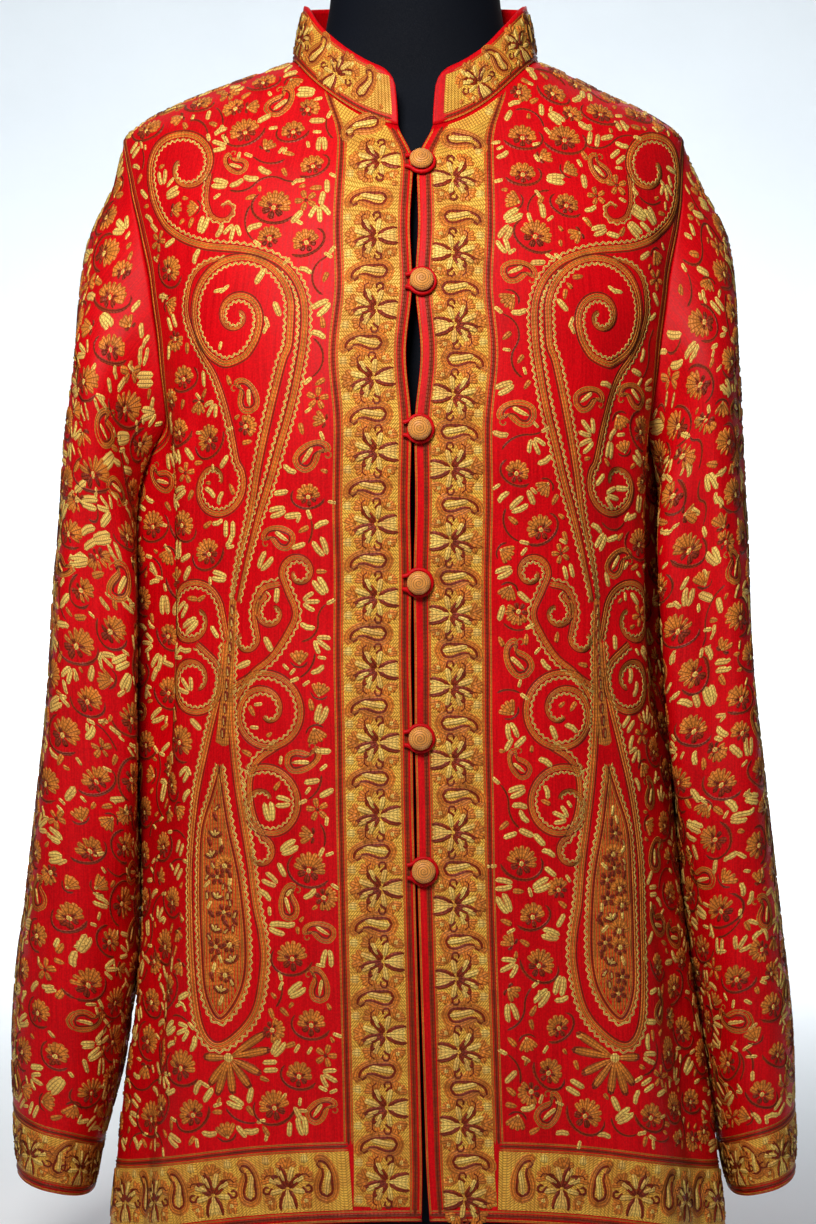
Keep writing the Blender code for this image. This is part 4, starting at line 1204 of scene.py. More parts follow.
def paisley(needle, room, chance, widen=0.0):
    """The great drop on the front: a crest, a coiled head, a stem and a lobe, with scrolls round them."""

    def moved(points):
        points = np.array(points, float)
        points[:, 0] += widen * smooth((points[:, 1] - 330) / 300)
        return points

    def spiral(start, centre, turns, end):
        both = moved([start, centre])
        return curl(both[0], both[1], turns, end)

    crest = np.concatenate([CREST, coil((158, 745), CREST_COIL)])
    scroll(needle, room, line_of(moved(crest)), 1, 0.86, 60, 80)
    hook = np.concatenate([HOOK, coil((126, 712), HOOK_COIL)])
    scroll(needle, room, line_of(moved(hook)), 1, 0.62)
    head = np.concatenate([HEAD_INNER, coil((115, 643), HEAD_LOOP), coil((117, 641), HEAD_COIL)])
    scroll(needle, room, line_of(moved(head)), -1, 0.84, 60, 80)
    zigzag(needle, line_of(moved(CREST[:11])), -5.2)
    for centre, radius in (((116, 644), 31), ((158, 748), 15), ((104, 622), 22)):
        room.take(moved([centre]) * MM, 0.0235 if radius > 22 else radius * MM)
    for place, turn in HEAD_LEAVES:
        needle.motif([blade((0, 0), turn, 8.5, 3.2, "light")], moved([place])[0] * MM)
    outer = line_of(moved(HEAD_OUTER), spiral(HEAD_OUTER[-1], (134, 532), 1.1, 3))
    scroll(needle, room, outer, 1, 0.72, 45, 60)
    for points, (centre, turns, end) in SIDE_SCROLLS:
        path = line_of(moved(points), spiral(points[-1], centre, turns, end))
        scroll(needle, room, path, 1 if turns > 0 else -1, 0.72)
    lobe, lobe_inner = line_of(moved(LOBE)), line_of(moved(LOBE_INNER))
    for border, rows, outer in ((lobe, LOBE_ROWS, -3.4), (lobe_inner, LOBE_INNER_ROWS, -2.9)):
        for offset, width, thread in rows:
            needle.row(thread, beside(border, offset) * MM, width * MM, rise_of(width, 1))
        zigzag(needle, border, outer)
    room.free &= ~inside(lobe * MM, room.places)
    room.take(lobe * MM, 0.0048)
    neck = line_of(moved(LOBE_NECK))
    share = np.linspace(0, 1, len(neck))
    needle.row("ochre", neck * MM, (6.0 + 8.0 * share) * MM, 0.0009)
    for k, middle in enumerate(neck[4:-2:4]):
        bud = petal((0, -4.2), 0, 8.4, 3.4 + 0.12 * k, "rust")
        rows = raised_more([bud, raised(blade((0, -3.0), 0, 6.0, 1.9, "light"))], 0.6)
        needle.motif(rows, middle * MM)
    fill_lobe(needle, lobe_inner, chance)
    foot = moved([(128, 161)])[0]
    for k, tip in enumerate(moved(FAN_TIPS)):
        away = tip - foot
        turn = math.atan2(away[0], away[1])
        length = float(np.hypot(*away)) * 0.98
        over = raised(petal((0, 0), turn, length - 1.6, 4.4, "ochre"), 0.5)
        needle.motif([petal((0, 0), turn, length, 7.0, "rust"), over], (foot + away * 0.1) * MM)
        room.take((foot + away * np.array([[0.4], [0.8]])) * MM, 0.006)
    needle.motif([raised(dot((0, 0), 6, "light"), 0.5)], foot * MM)


def fill_lobe(needle, inner, chance):
    """Rows of ochre that fill the lobe, with dark shapes, small flowers and light strokes over them."""
    polygon = beside(inner, 2.6) * MM
    low, high = polygon.min(axis=0), polygon.max(axis=0)
    heights = np.arange(low[1], high[1], 0.0024)
    for across in np.arange(low[0] + 0.001, high[0], 0.0021):
        column = np.stack([np.full(len(heights), across), heights], axis=1)
        kept = inside(polygon, column)
        if kept.sum() > 3:
            needle.row("ochre", column[kept], 0.0023, 0.0004)
    room = Room(needle.ground, lambda places: inside(polygon, places))
    room.take(polygon, 0.0022)
    leaves = [petal((0, 1.0), turn, 6.4, 3.4, "rust") for turn in (-0.9, 0.0, 0.9)]
    leaves += [raised(blade((0, 2.2), turn, 4.6, 1.9, "light")) for turn in (-0.9, 0.0, 0.9)]
    flowers = [round_flower(5.6, "rust", "light"), lowered(leaves, 4)]
    flowers += [lowered(fan_flower(5, 7.6, spread=1.1), 2)]
    marks = [[petal((0, -3.2), 0, 6.4, 3.2, "rust")], [blade((0, -3.2), 0, 6.4, 2.4, "light")]]
    marks += [[petal((0, -3.2), 0, 6.4, 3.4, "rust"), raised(blade((0, -2.4), 0, 4.8, 1.8, "light"))]]
    flowers, marks = ([raised_more(rows, 0.35) for rows in motifs] for motifs in (flowers, marks))
    room.scatter(needle, chance, flowers, 0.0050, 1500, 0.7)
    room.scatter(needle, chance, marks, 0.0024, 3000, 0.9)


FIELD_CLEARANCE = 0.00045
FIELD_ZIGZAG = 0.012


class Strip:
    """A border that runs beside a guide of pattern places, on its left."""

    def __init__(self, needle, guide, head=None):
        self.needle = needle
        self.head = head
        self.guide = respaced(np.asarray(guide, float), 0.002)
        self.along = lengths_along(self.guide)
        self.length = self.along[-1]
        self.ahead = unit(np.gradient(self.guide, axis=0))
        if head:
            self.ahead[:] = (0, -1)
        self.left = self.ahead @ np.array([[0.0, 1.0], [-1.0, 0.0]])

    def place(self, along, across):
        """Pattern places so far along the guide and to its left. Its head reaches past its start."""
        across = np.asarray(across, float)
        along = np.clip(along, 0, self.length)
        beyond = self.head(across) * np.clip(1 - along / 0.07, 0, 1) if self.head else 0.0 * across
        on, left = (places_on(line, self.along, along) for line in (self.guide, self.left))
        return on + left * across[..., None] - self.ahead[0] * beyond[..., None]

    def lines(self, rows, start=0.0, short=0.0):
        """Rows that run the strip's length: how far across, how wide, in millimetres, and their thread."""
        steps = np.arange(start, self.length - short, 0.003)
        for across, width, thread in rows:
            line = self.place(steps, np.full(len(steps), across * MM))
            self.needle.row(thread, line, width * MM, rise_of(width, 1))

    def motif(self, rows, along, across, size):
        """A motif whose up is away from the guide, at a place given in millimetres."""
        here, ahead = self.place(np.array([along, along + 1]) * MM, np.array([across, across]) * MM)
        turn = math.atan2(*(ahead - here)[::-1])
        self.needle.motif(rows, here, turn, size, FIELD_CLEARANCE)

    def take(self, room, end, radius):
        """Marks the strip as full, out to so many millimetres from the guide."""
        for across in np.arange(0, end, 4):
            room.take(self.place(self.along[::2], np.full(len(self.along[::2]), across * MM)), radius)

    def field(self, low, high, start=0.0, short=0.0):
        """A flat ground of stitches whose rows run in long zigzags."""
        along = np.arange(start, self.length - short, 0.003)
        count = max(int(round((high - low) / 2.9)), 2)
        across = np.linspace(low, high, count + 1) * MM
        grid_along, grid_across = np.meshgrid(along, across, indexing="ij")
        swing = np.abs(grid_along / FIELD_ZIGZAG % 2 - 1) * FIELD_ZIGZAG * 0.8
        uv = np.stack([grid_along, grid_across + swing], axis=-1)
        self.needle.fields.append((self.place(grid_along, grid_across), uv))


SPRAY_STEMS = ((-1.22, 12.5, 0.5), (-0.60, 14.5, -0.4), (0.04, 15.0, 0.25), (0.66, 14.0, -0.45))
SPRAY_STEMS += ((1.28, 12.5, -0.5), (-2.42, 12.0, -0.4), (2.36, 12.5, 0.45))


def spray():
    """The flower between two drops: crossed dark stems round light leaves, a light wedge and ochre petals."""
    foot = np.array([0, -3.5])
    rows = []

    def ray(turn, distance):
        return foot + distance * np.array([math.sin(turn), math.cos(turn)])

    for x, y, turn, reach in ((9.5, 2.5, 0.9, 7.4), (8.5, -9.0, 2.1, 6.6)):
        for way in (-1, 1):
            lean = (-0.9, -0.3, 0.3, 0.9)
            rows += [petal((way * x, y), way * turn + more, reach, reach * 0.5, "ochre") for more in lean]
    rows += [petal((0, 8.2), turn, 7.4, 4.2, "ochre") for turn in (-1.1, -0.4, 0.4, 1.1)]
    for x, turn, reach in ((-3.6, 0.3, 8.6), (3.6, -0.3, 8.6), (0, 0, 11.4)):
        rows.append(blade((x, -15.4), turn, reach, 4.8, "light"))
    for turn, reach, bend in SPRAY_STEMS:
        rows.append(raised(blade(ray(turn, 1.2), turn, reach, 2.9, "rust", bend=bend), 0.2))
    for way in (-1, 1):
        twig = [ray(way * 0.62, 9.0), ray(way * 0.84, 12.0), ray(way * 1.0, 15.0), ray(way * 1.22, 15.5)]
        rows.append(raised(vine(twig, 2.2, 1.8), 0.3))
        hook = curl(ray(way * 1.78, 12), ray(way * 1.62, 13), way * 0.7, 2.2)
        hook = np.concatenate([[ray(way * 1.5, 9.5)], hook])
        rows.append(raised(vine(hook, 2.2, 1.8), 0.3))
    for turn, reach, width in ((-0.90, 8.5, 3.4), (-0.28, 9.5, 3.4), (0.36, 9.0, 3.4), (0.96, 8.5, 3.6)):
        rows.append(raised(blade(ray(turn, 4.6), turn, reach, width, "light", bend=0.2 * turn), 0.5))
    for way in (-1, 1):
        rows.append(raised(blade(ray(way * 1.80, 3.4), way * 1.75, 8.0, 3.2, "light"), 0.5))
        rows.append(raised(dot((way * 11.0, -11.0), 3.0, "light"), 0.5))
    return rows


def raised(row, by=0.45):
    """The row lifted off the rows under it, in millimetres."""
    return (*row[:4], by)


def raised_more(rows, by):
    """The rows of a motif lifted together, each by so much more than it was."""
    return [raised(row, by + sum(row[4:])) for row in rows]


def border_drop():
    """The slim drop of the borders, with a bar inside a dark ring."""
    outline = curve_through(np.array(DROP) * [0.86, 1.06], 2.2)[:-1]
    insets = ((0.0, 1.9, "ochre"), (1.6, 1.7, "ochre"), (3.1, 1.9, "rust"))
    rows = rings_inside(outline, np.array([-0.5, -1.0]), insets, 1.0, 0.2)
    rows.append(raised(blade((0.2, -7.4), -0.1, 13.6, 3.0, "light", bend=-0.1), 0.3))
    return rows


def dress_border(strip, first, period, low, high, size=1.0, start=0.0):
    """Drops and sprays by turns along a gold strip, with small petals at its edges."""
    middle = (low + high) / 2
    drop, flower = border_drop(), spray()
    wedge = [petal((0, 3.0), math.pi, 5.6, 5.4, "light")]
    for k in range(-1, int(strip.length / MM / period) + 2):
        for shift, rows, scale in ((0.0, drop, 1.22), (0.5, flower, 1.10)):
            along = first + (k + shift) * period
            if start + 12 * size < along < strip.length / MM - 12 * size:
                strip.motif(rows, along, middle, size * scale)
        for shift in (0.25, 0.75):
            along = first + (k + shift) * period
            if start + 6 < along < strip.length / MM - 6:
                strip.motif(wedge, along, high - 3.2, size)
                strip.motif([petal((0, 0), 0.0, 4.4, 4.2, "ochre")], along, low + 1.0, size)


def panel_outline(side, back):
    """The pattern places of a panel's outline, closed."""
    panel = half_panel(back)
    edge = np.concatenate([panel[0], panel[1:, -1], panel[-1, -2::-1], panel[-2:0:-1, 0]])
    return laid_flat(edge, side, back)


def hem_guide(side, back):
    """The hem as pattern places, from the middle out to the side seam."""
    turns = np.linspace(math.pi if back else float(front_edge_turn(0.062)), QUARTER_TURN, 60)
    return laid_flat(np.stack([turns, hem_level(turns)], axis=1), side, back)


def front_guide():
    """The front edge as pattern places, from the neckline down to the hem."""
    heights = np.linspace(FRONT_NECK - 0.001, float(hem_level(0.0)) + 0.001, 90)
    return np.stack([through(FRONT_GAP["height"], FRONT_GAP["half_gap"], heights), heights], axis=1)


def neck_reach(across):
    """How much higher than at the front edge the neckline is, so far across from the edge."""
    x = FRONT_GAP["half_gap"][-1] + np.clip(across, 0, 0.055)
    return (NECK_POINT - FRONT_NECK) * np.clip(x / NECK_HALF_WIDTH, 0, 1) ** 2 - 0.0015


def armhole_guide(side, back):
    """The armhole as pattern places, from the shoulder tip down."""
    return laid_flat(armhole_path(back)[::-1], side, back)


HEM_ROWS = ((1.3, 1.8, "ochre"), (4.4, 3.0, "rust"), (6.8, 1.4, "ochre"))
HEM_TOP_ROWS = ((46.4, 1.5, "ochre"), (48.6, 2.4, "rust"), (50.8, 1.5, "ochre"))
PLACKET_RIGHT = ((1.0, 1.5, "ochre"), (4.3, 3.4, "rust"), (6.9, 1.5, "ochre"))
PLACKET_LEFT = ((0.9, 1.5, "ochre"), (7.0, 3.4, "rust"), (9.7, 1.5, "ochre"))
PLACKET_OUTER = ((44.6, 1.6, "ochre"), (46.9, 2.8, "rust"), (49.3, 1.6, "ochre"))


PLACKET_WIDTH = 0.0436
RIM_CLEARANCE = 0.0028


def embroider_body(side, back, chance, threads):
    """All the stitches of one front or of half the back."""
    ground = body_ground(side, back)
    needle = Needlework(ground)
    outline = panel_outline(side, back)
    room = Room(ground, lambda places: inside(outline, places))
    rim = respaced(np.concatenate([outline, outline[:1]]), 0.003)
    room.take(rim, RIM_CLEARANCE)
    hem, arm = Strip(needle, hem_guide(side, back)), Strip(needle, armhole_guide(side, back))
    start = 0.0 if back else PLACKET_WIDTH
    hem.field(8.2, 45.4, start)
    hem.lines(HEM_ROWS)
    hem.lines(HEM_TOP_ROWS, start=start)
    dress_border(hem, 59.0 if not back else 26.0, 50.0, 9.0, 45.0, 0.98, start / MM)
    hem.take(room, 53, 0.0042)
    sign = 1 if arm.place(0.1, np.array(0.01))[0] < arm.place(0.1, np.array(0.0))[0] else -1
    arm.lines(((sign * 2.2, 1.9, "ochre"), (sign * 4.9, 1.7, "rust"), (sign * 7.0, 1.3, "ochre")))
    room.take(arm.place(arm.along[::2], np.full(len(arm.along[::2]), sign * 0.004)), 0.0062)
    if not back:
        placket = Strip(needle, front_guide(), neck_reach)
        inner = PLACKET_RIGHT if side < 0 else PLACKET_LEFT
        low = 7.8 if side < 0 else 10.6
        placket.field(low, 43.6, short=0.008)
        placket.lines(inner)
        placket.lines(PLACKET_OUTER, short=0.047)
        first = 7.0 if side < 0 else 18.0
        dress_border(placket, first, 46.6, low, 43.6, start=-8.0)
        placket.take(room, 52, 0.0040)
    paisley(needle, room, chance, 8.0 if side > 0 else 0.0)
    fill_cloth(needle, room, chance)
    name = ("back_" if back else "front_") + ("left" if side > 0 else "right")
    needle.finish(name, threads)


def embroider_sleeve(side, chance, threads):
    """All the stitches of one sleeve."""
    grid = sleeve_grid(side, 1.0)[::-1]
    length = np.linalg.norm(np.diff(grid, axis=0), axis=2).sum(axis=0).mean()
    around = np.linalg.norm(np.roll(grid, -1, axis=1) - grid, axis=2).sum(axis=1).mean()
    step = (around / grid.shape[1], length / (grid.shape[0] - 1))
    ground = Ground(grid, (0, 0), step, around=True)
    needle = Needlework(ground)
    room = Room(ground, lambda places: (places[..., 1] > 0.001) & (places[..., 1] < length - 0.004))
    start = around * 0.55
    cuff = Strip(needle, [(start, 0.0), (start + around, 0.0)])
    cuff.field(7.6, 38.0)
    cuff.lines(((1.2, 1.8, "ochre"), (4.2, 2.8, "rust"), (6.6, 1.4, "ochre")))
    cuff.lines(((39.0, 1.5, "ochre"), (41.2, 2.4, "rust"), (43.4, 1.5, "ochre")))
    dress_border(cuff, 22.0, 46.0, 8.4, 38.0, 0.86)
    room.free &= room.places[..., 1] > 0.047
    fill_cloth(needle, room, chance)
    needle.finish("sleeve_left" if side > 0 else "sleeve_right", threads)


def embroider_collar(threads):
    """All the stitches of the collar."""
    ground, length = collar_ground()
    needle = Needlework(ground)
    strip = Strip(needle, [(0.004, 0.0), (length - 0.004, 0.0)])
    strip.field(6.6, 33.2)
    strip.lines(((1.2, 1.7, "ochre"), (3.6, 2.4, "rust"), (5.8, 1.3, "ochre")))
    trimmed = Strip(needle, [(0.010, 0.0), (length - 0.010, 0.0)])
    trimmed.lines(((34.4, 1.4, "ochre"),))
    dress_border(strip, 20.0, 46.0, 6.6, 33.4, 0.80)
    needle.finish("collar", threads)


def srgb(red, green, blue):
    """A colour given as it looks on screen, from 0 to 255, as Blender's linear values."""
    values = np.array([red, green, blue]) / 255
    linear = np.where(values <= 0.04045, values / 12.92, ((values + 0.055) / 1.055) ** 2.4)
    return tuple(float(v) for v in linear)


class Recipe:
    """A material's node tree, built up a node at a time."""

    def __init__(self, name):
        self.material = bpy.data.materials.new(name)
        self.material.use_nodes = True
        self.tree = self.material.node_tree
        self.shader = self.tree.nodes["Principled BSDF"]

    def feed(self, socket, value):
        """Links a socket to an output, or sets its constant value."""
        if isinstance(value, bpy.types.NodeSocket):
            self.tree.links.new(value, socket)
        elif isinstance(value, (tuple, list)) and len(value) == 3 and len(socket.default_value) == 4:
            socket.default_value = (*value, 1.0)
        else:
            socket.default_value = value

    def add(self, kind, inputs=(), **settings):
        """A new node with its settings, and its inputs by name or number."""
        node = self.tree.nodes.new(kind)
        for key, value in settings.items():
            setattr(node, key, value)
        for key, value in dict(inputs).items():
            self.feed(node.inputs[key], value)
        return node

    def maths(self, operation, *values):
        """The result of a Math node."""
        return self.add("ShaderNodeMath", enumerate(values), operation=operation).outputs[0]

    def times(self, first, second):
        """The product of two values."""
        return self.maths("MULTIPLY", first, second)

    def plus(self, first, second):
        """The sum of two values."""
        return self.maths("ADD", first, second)

    def minus(self, first, second):
        """The difference between two values."""
        return self.maths("SUBTRACT", first, second)

    def from_half(self, value):
        """How far the value's fraction is from a half."""
        return self.maths("ABSOLUTE", self.minus(self.maths("FRACT", value), 0.5))

    def threads(self, name="threads"):
        """Along and across the stitches, in metres."""
        uv = self.add("ShaderNodeUVMap", uv_map=name).outputs[0]
        parts = self.add("ShaderNodeSeparateXYZ", {0: uv}).outputs
        return parts[0], parts[1]

    def noise(self, scale, detail=2.0, roughness=0.5, vector=None):
        """Soft random values round a half, in object space unless a vector is given."""
        vector = vector or self.add("ShaderNodeTexCoord").outputs["Object"]
        inputs = {"Vector": vector, "Scale": scale, "Detail": detail, "Roughness": roughness}
        return self.add("ShaderNodeTexNoise", inputs).outputs[0]

    def ramp(self, value, low, high, start=0.0, end=1.0):
        """A value moved from one range to another, eased at both ends."""
        inputs = {"Value": value, "From Min": low, "From Max": high, "To Min": start, "To Max": end}
        return self.add("ShaderNodeMapRange", inputs, interpolation_type="SMOOTHSTEP").outputs[0]

    def mix(self, share, first, second):
        """Two colours mixed."""
        node = self.add("ShaderNodeMix", data_type="RGBA")
        self.feed(node.inputs[0], share)
        self.feed(node.inputs[6], first)
        self.feed(node.inputs[7], second)
        return node.outputs[2]

    def bump(self, height, distance, strength):
        """Feeds the shader's normal from a height between 0 and 1."""
        inputs = {"Height": height, "Distance": distance, "Strength": strength}
        self.feed(self.shader.inputs["Normal"], self.add("ShaderNodeBump", inputs).outputs[0])

    def finish(self, colour, roughness, sheen, specular):
        """Feeds the shader's main inputs and returns the material."""
        for key, value in (
            ("Base Color", colour),
            ("Roughness", roughness),
            ("Sheen Weight", sheen),
            ("Sheen Roughness", 0.35),
            ("Specular IOR Level", specular),
        ):
            self.feed(self.shader.inputs[key], value)
        return self.material


def shade(colour, share):
    """A colour made lighter or darker."""
    return tuple(min(c * share, 1.0) for c in colour[:3])


STITCH_WIDTH = 0.0017
STITCH_LENGTH = 0.0026
WEAVE_PITCH = 0.0007


def stitched_thread(name, colour):
    """Chain stitch: rows of links grooved down each middle, and thread that varies a little. The grooves and
    the gaps between links are sunk by the bump and also darkened with painted shade.
    """
    recipe = Recipe(name)
    along, across = recipe.threads()
    rows = recipe.maths("DIVIDE", across, STITCH_WIDTH)
    from_groove = recipe.maths("ABSOLUTE", recipe.minus(rows, recipe.maths("ROUND", rows)))
    links = recipe.plus(recipe.maths("DIVIDE", along, STITCH_LENGTH), recipe.times(from_groove, 0.9))
    in_link = recipe.from_half(links)
    groove_sunk_and_shaded = recipe.ramp(from_groove, 0.0, 0.24, 1.0, 0.0)
    link_gap_sunk_and_shaded = recipe.ramp(in_link, 0.34, 0.5, 0.0, 1.0)
    # painted shade: darkest in the grooves and in the gaps between links; the same mask also sinks them in
    # the bump
    dark = recipe.maths("MAXIMUM", recipe.times(groove_sunk_and_shaded, 0.75), recipe.times(link_gap_sunk_and_shaded, 0.6))
    worn = recipe.ramp(recipe.noise(90.0, 3.0), 0.3, 0.7)
    body = recipe.mix(worn, shade(colour, 0.80), shade(colour, 1.30))
    fine = recipe.ramp(recipe.noise(900.0, 1.0), 0.35, 0.65)
    body = recipe.mix(recipe.times(fine, 0.35), body, shade(colour, 0.7))
    # the painted shade takes the thread towards near black in the grooves and link gaps
    colour_now = recipe.mix(recipe.times(dark, 0.88), body, shade(colour, 0.14))
    height = recipe.minus(1.0, recipe.times(dark, 0.9))
    recipe.bump(height, 0.0006, 1.0)
    return recipe.finish(colour_now, recipe.ramp(worn, 0, 1, 0.56, 0.46), 0.0, 0.2)


def woven_silk(name, colour):
    """Satin silk with fine upright streaks, slubs and a faint weave."""
    recipe = Recipe(name)
    across, up = recipe.threads()
    stretched = recipe.add("ShaderNodeCombineXYZ", {0: recipe.times(across, 900.0)})
    recipe.feed(stretched.inputs[1], recipe.times(up, 22.0))
    streaks = recipe.noise(1.0, 3.0, 0.6, stretched.outputs[0])
    broad = recipe.noise(14.0, 3.0, 0.55)
    weave_x = recipe.maths("SINE", recipe.times(across, 2 * math.pi / WEAVE_PITCH))
    weave_y = recipe.maths("SINE", recipe.times(up, 2 * math.pi / WEAVE_PITCH))
    weave = recipe.times(weave_x, weave_y)
    grain = recipe.ramp(recipe.noise(760.0, 2.0), 0.34, 0.66, 0.0, 0.34)
    streaked = recipe.ramp(streaks, 0.32, 0.68, 0.0, 0.40)
    tone = recipe.plus(streaked, recipe.ramp(broad, 0.3, 0.7, 0.0, 0.26))
    colour_now = recipe.mix(recipe.plus(tone, grain), shade(colour, 0.62), shade(colour, 1.26))
    height = recipe.plus(recipe.times(streaks, 0.8), recipe.times(weave, 0.12))
    recipe.bump(height, 0.00022, 0.6)
    return recipe.finish(colour_now, recipe.ramp(streaks, 0.3, 0.7, 0.44, 0.56), 0.0, 0.13)


def wound_button(name, colour):
    """Rows of chain stitch wound in a spiral from the middle of the dome, with painted shade in the grooves
    between rows and in the gaps between links.
    """
    recipe = Recipe(name)
    around, pole = recipe.threads("UVMap")
    turns = recipe.plus(recipe.times(pole, 13.0), around)
    in_row = recipe.from_half(turns)
    links = recipe.plus(recipe.times(around, 30.0), recipe.times(in_row, 0.9))
    in_link = recipe.from_half(links)
    groove_sunk_and_shaded = recipe.ramp(in_row, 0.30, 0.5)
    link_gap_sunk_and_shaded = recipe.times(recipe.ramp(in_link, 0.30, 0.5), 0.6)
    # painted shade: the grooves between rows and the gaps between links are darkened towards near black, as
    # well as sunk in the bump
    dark = recipe.maths("MAXIMUM", groove_sunk_and_shaded, link_gap_sunk_and_shaded)
    body = recipe.mix(recipe.ramp(recipe.noise(260.0), 0.3, 0.7), shade(colour, 0.84), shade(colour, 1.12))
    colour_now = recipe.mix(recipe.times(dark, 0.8), body, shade(colour, 0.2))
    recipe.bump(recipe.minus(1.0, dark), 0.0005, 0.9)
    return recipe.finish(colour_now, 0.45, 0.1, 0.45)


def dark_jersey(name, colour):
    """A dull dark knit."""
    recipe = Recipe(name)
    knit = recipe.noise(1500.0, 1.0)
    broad = recipe.ramp(recipe.noise(9.0, 3.0), 0.3, 0.7)
    recipe.bump(knit, 0.0002, 0.5)
    body = recipe.mix(broad, shade(colour, 0.8), shade(colour, 1.25))
    return recipe.finish(body, recipe.ramp(knit, 0.3, 0.7, 0.72, 0.86), 0.02, 0.12)


def pale_floor(name, colour):
    """An even, pale, dull studio floor."""
    recipe = Recipe(name)
    tone = recipe.ramp(recipe.noise(3.0, 3.0), 0.3, 0.7)
    recipe.bump(recipe.noise(400.0, 2.0), 0.0001, 0.2)
    return recipe.finish(recipe.mix(tone, shade(colour, 0.98), colour[:3]), 0.85, 0.0, 0.2)


def length_of(name, text, value):
    """A length that the panel shows."""
    return bpy.props.FloatProperty(name=name, description=text, default=value, unit="LENGTH")


def colour_of(name, text, *value):
    """A colour that the panel shows."""
    return bpy.props.FloatVectorProperty(name=name, description=text, default=srgb(*value), subtype="COLOR")


class JacketSizes(bpy.types.PropertyGroup):
    """Sizes of the cloth, the buttons and their loops."""

    cloth_thickness: length_of("Cloth thickness", "Thickness of the silk with its lining", 0.0012)
    collar_thickness: length_of("Collar thickness", "Thickness of the stiffened collar", 0.0018)
    button_radius: length_of("Button radius", "Half the width of a button", 0.0076)
    button_half_depth: length_of("Button half depth", "Half the depth of a button's ball", 0.0040)
    button_lift: length_of("Button lift", "How far a button's middle stands off the cloth", 0.0054)
    loop_radius: length_of("Loop cord radius", "Half the thickness of a loop's cord", 0.0014)
    loop_reach: length_of("Loop reach", "Radius of a loop round its button", 0.0084)


class JacketColours(bpy.types.PropertyGroup):
    """Colours of the silk, the threads and the form."""

    silk: colour_of("Silk", "Red of the silk", 200, 0, 10)
    gold: colour_of("Gold thread", "Ground of the borders", 252, 176, 68)
    light: colour_of("Light thread", "Leaves and zigzags", 255, 194, 98)
    ochre: colour_of("Ochre thread", "Petals and broad rows", 214, 124, 44)
    rust: colour_of("Rust thread", "Outlines and stems", 142, 46, 16)
    button: colour_of("Button thread", "Thread wound on the buttons", 246, 160, 70)
    jersey: colour_of("Form cover", "Knit over the dress form", 7, 11, 20)
    floor: colour_of("Floor", "Pale studio floor", 236, 240, 243)


def silk_material(context):
    """The silk, made once."""
    return bpy.data.materials.get("red_silk") or woven_silk("red_silk", context.scene.jacket_colours.silk)


def thread_materials(context):
    """The four threads, made once."""
    made = {}
    for thread in THREADS:
        name = f"{thread}_thread"
        colour = getattr(context.scene.jacket_colours, thread)
        made[thread] = bpy.data.materials.get(name) or stitched_thread(name, colour)
    return made


def declare_cloth(piece, node):
    """Hangs a cloth shell on the root and hides the solid that it stands for."""
    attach(piece, "root")
    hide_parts(node)


class JACKET_OT_cloth(bpy.types.Operator):
    """Makes the fronts, the back, the sleeves and the collar as thin shells of silk"""

    bl_idname = "jacket.cloth"
    bl_label = "Cloth"

    def execute(self, context):
        silk = silk_material(context)
        wall = context.scene.jacket_sizes.cloth_thickness
        front, back = half_panel(False), half_panel(True)
        for side, name in ((-1, "front_right"), (1, "front_left")):
            grid = body_point(front[..., 0], front[..., 1], side)
            piece = cloth_shell(f"silk_{name}", grid, cloth_places(grid), wall, silk)
            declare_cloth(piece, name)
        halves = [body_point(back[..., 0], back[..., 1], side) for side in (-1, 1)]
        grid = np.concatenate([halves[0][:, ::-1], halves[1][:, 1:]], axis=1)
        declare_cloth(cloth_shell("silk_back", grid, cloth_places(grid), wall, silk), "back")
        for side, name in ((-1, "sleeve_right"), (1, "sleeve_left")):
            grid = sleeve_grid(side)
            piece = cloth_shell(f"silk_{name}", grid, cloth_places(grid, True), wall, silk, around=True)
            declare_cloth(piece, name)
        grid, places = collar_grid()
        thickness = context.scene.jacket_sizes.collar_thickness
        declare_cloth(cloth_shell("silk_collar", grid, places, thickness, silk), "collar")
        return {"FINISHED"}


def cloth_places(grid, around=False):
    """Distances across and up the cloth of each point, in metres, for the weave."""
    columns = np.arange(grid.shape[1] + (1 if around else 0))
    closed = grid[:, columns % grid.shape[1]]
    return np.stack([lengths_over(closed), lengths_over(closed, 0)], axis=-1)


class JACKET_OT_front_stitches(bpy.types.Operator):
    """Stitches the embroidery of both fronts"""

    bl_idname = "jacket.front_stitches"
    bl_label = "Front embroidery"

    def execute(self, context):
        threads = thread_materials(context)
        for side, seed in ((-1, 11), (1, 23)):
            embroider_body(side, False, np.random.default_rng(seed), threads)
        return {"FINISHED"}


class JACKET_OT_back_stitches(bpy.types.Operator):
    """Stitches the embroidery of both halves of the back"""

    bl_idname = "jacket.back_stitches"
    bl_label = "Back embroidery"

    def execute(self, context):
        threads = thread_materials(context)
        for side, seed in ((-1, 31), (1, 31)):
            embroider_body(side, True, np.random.default_rng(seed), threads)
        return {"FINISHED"}


class JACKET_OT_sleeve_stitches(bpy.types.Operator):
    """Stitches the embroidery of both sleeves"""

    bl_idname = "jacket.sleeve_stitches"
    bl_label = "Sleeve embroidery"

    def execute(self, context):
        threads = thread_materials(context)
        for side, seed in ((-1, 41), (1, 53)):
            embroider_sleeve(side, np.random.default_rng(seed), threads)
        return {"FINISHED"}


class JACKET_OT_collar_stitches(bpy.types.Operator):
    """Stitches the embroidery of the collar"""

    bl_idname = "jacket.collar_stitches"
    bl_label = "Collar embroidery"

    def execute(self, context):
        embroider_collar(thread_materials(context))
        return {"FINISHED"}


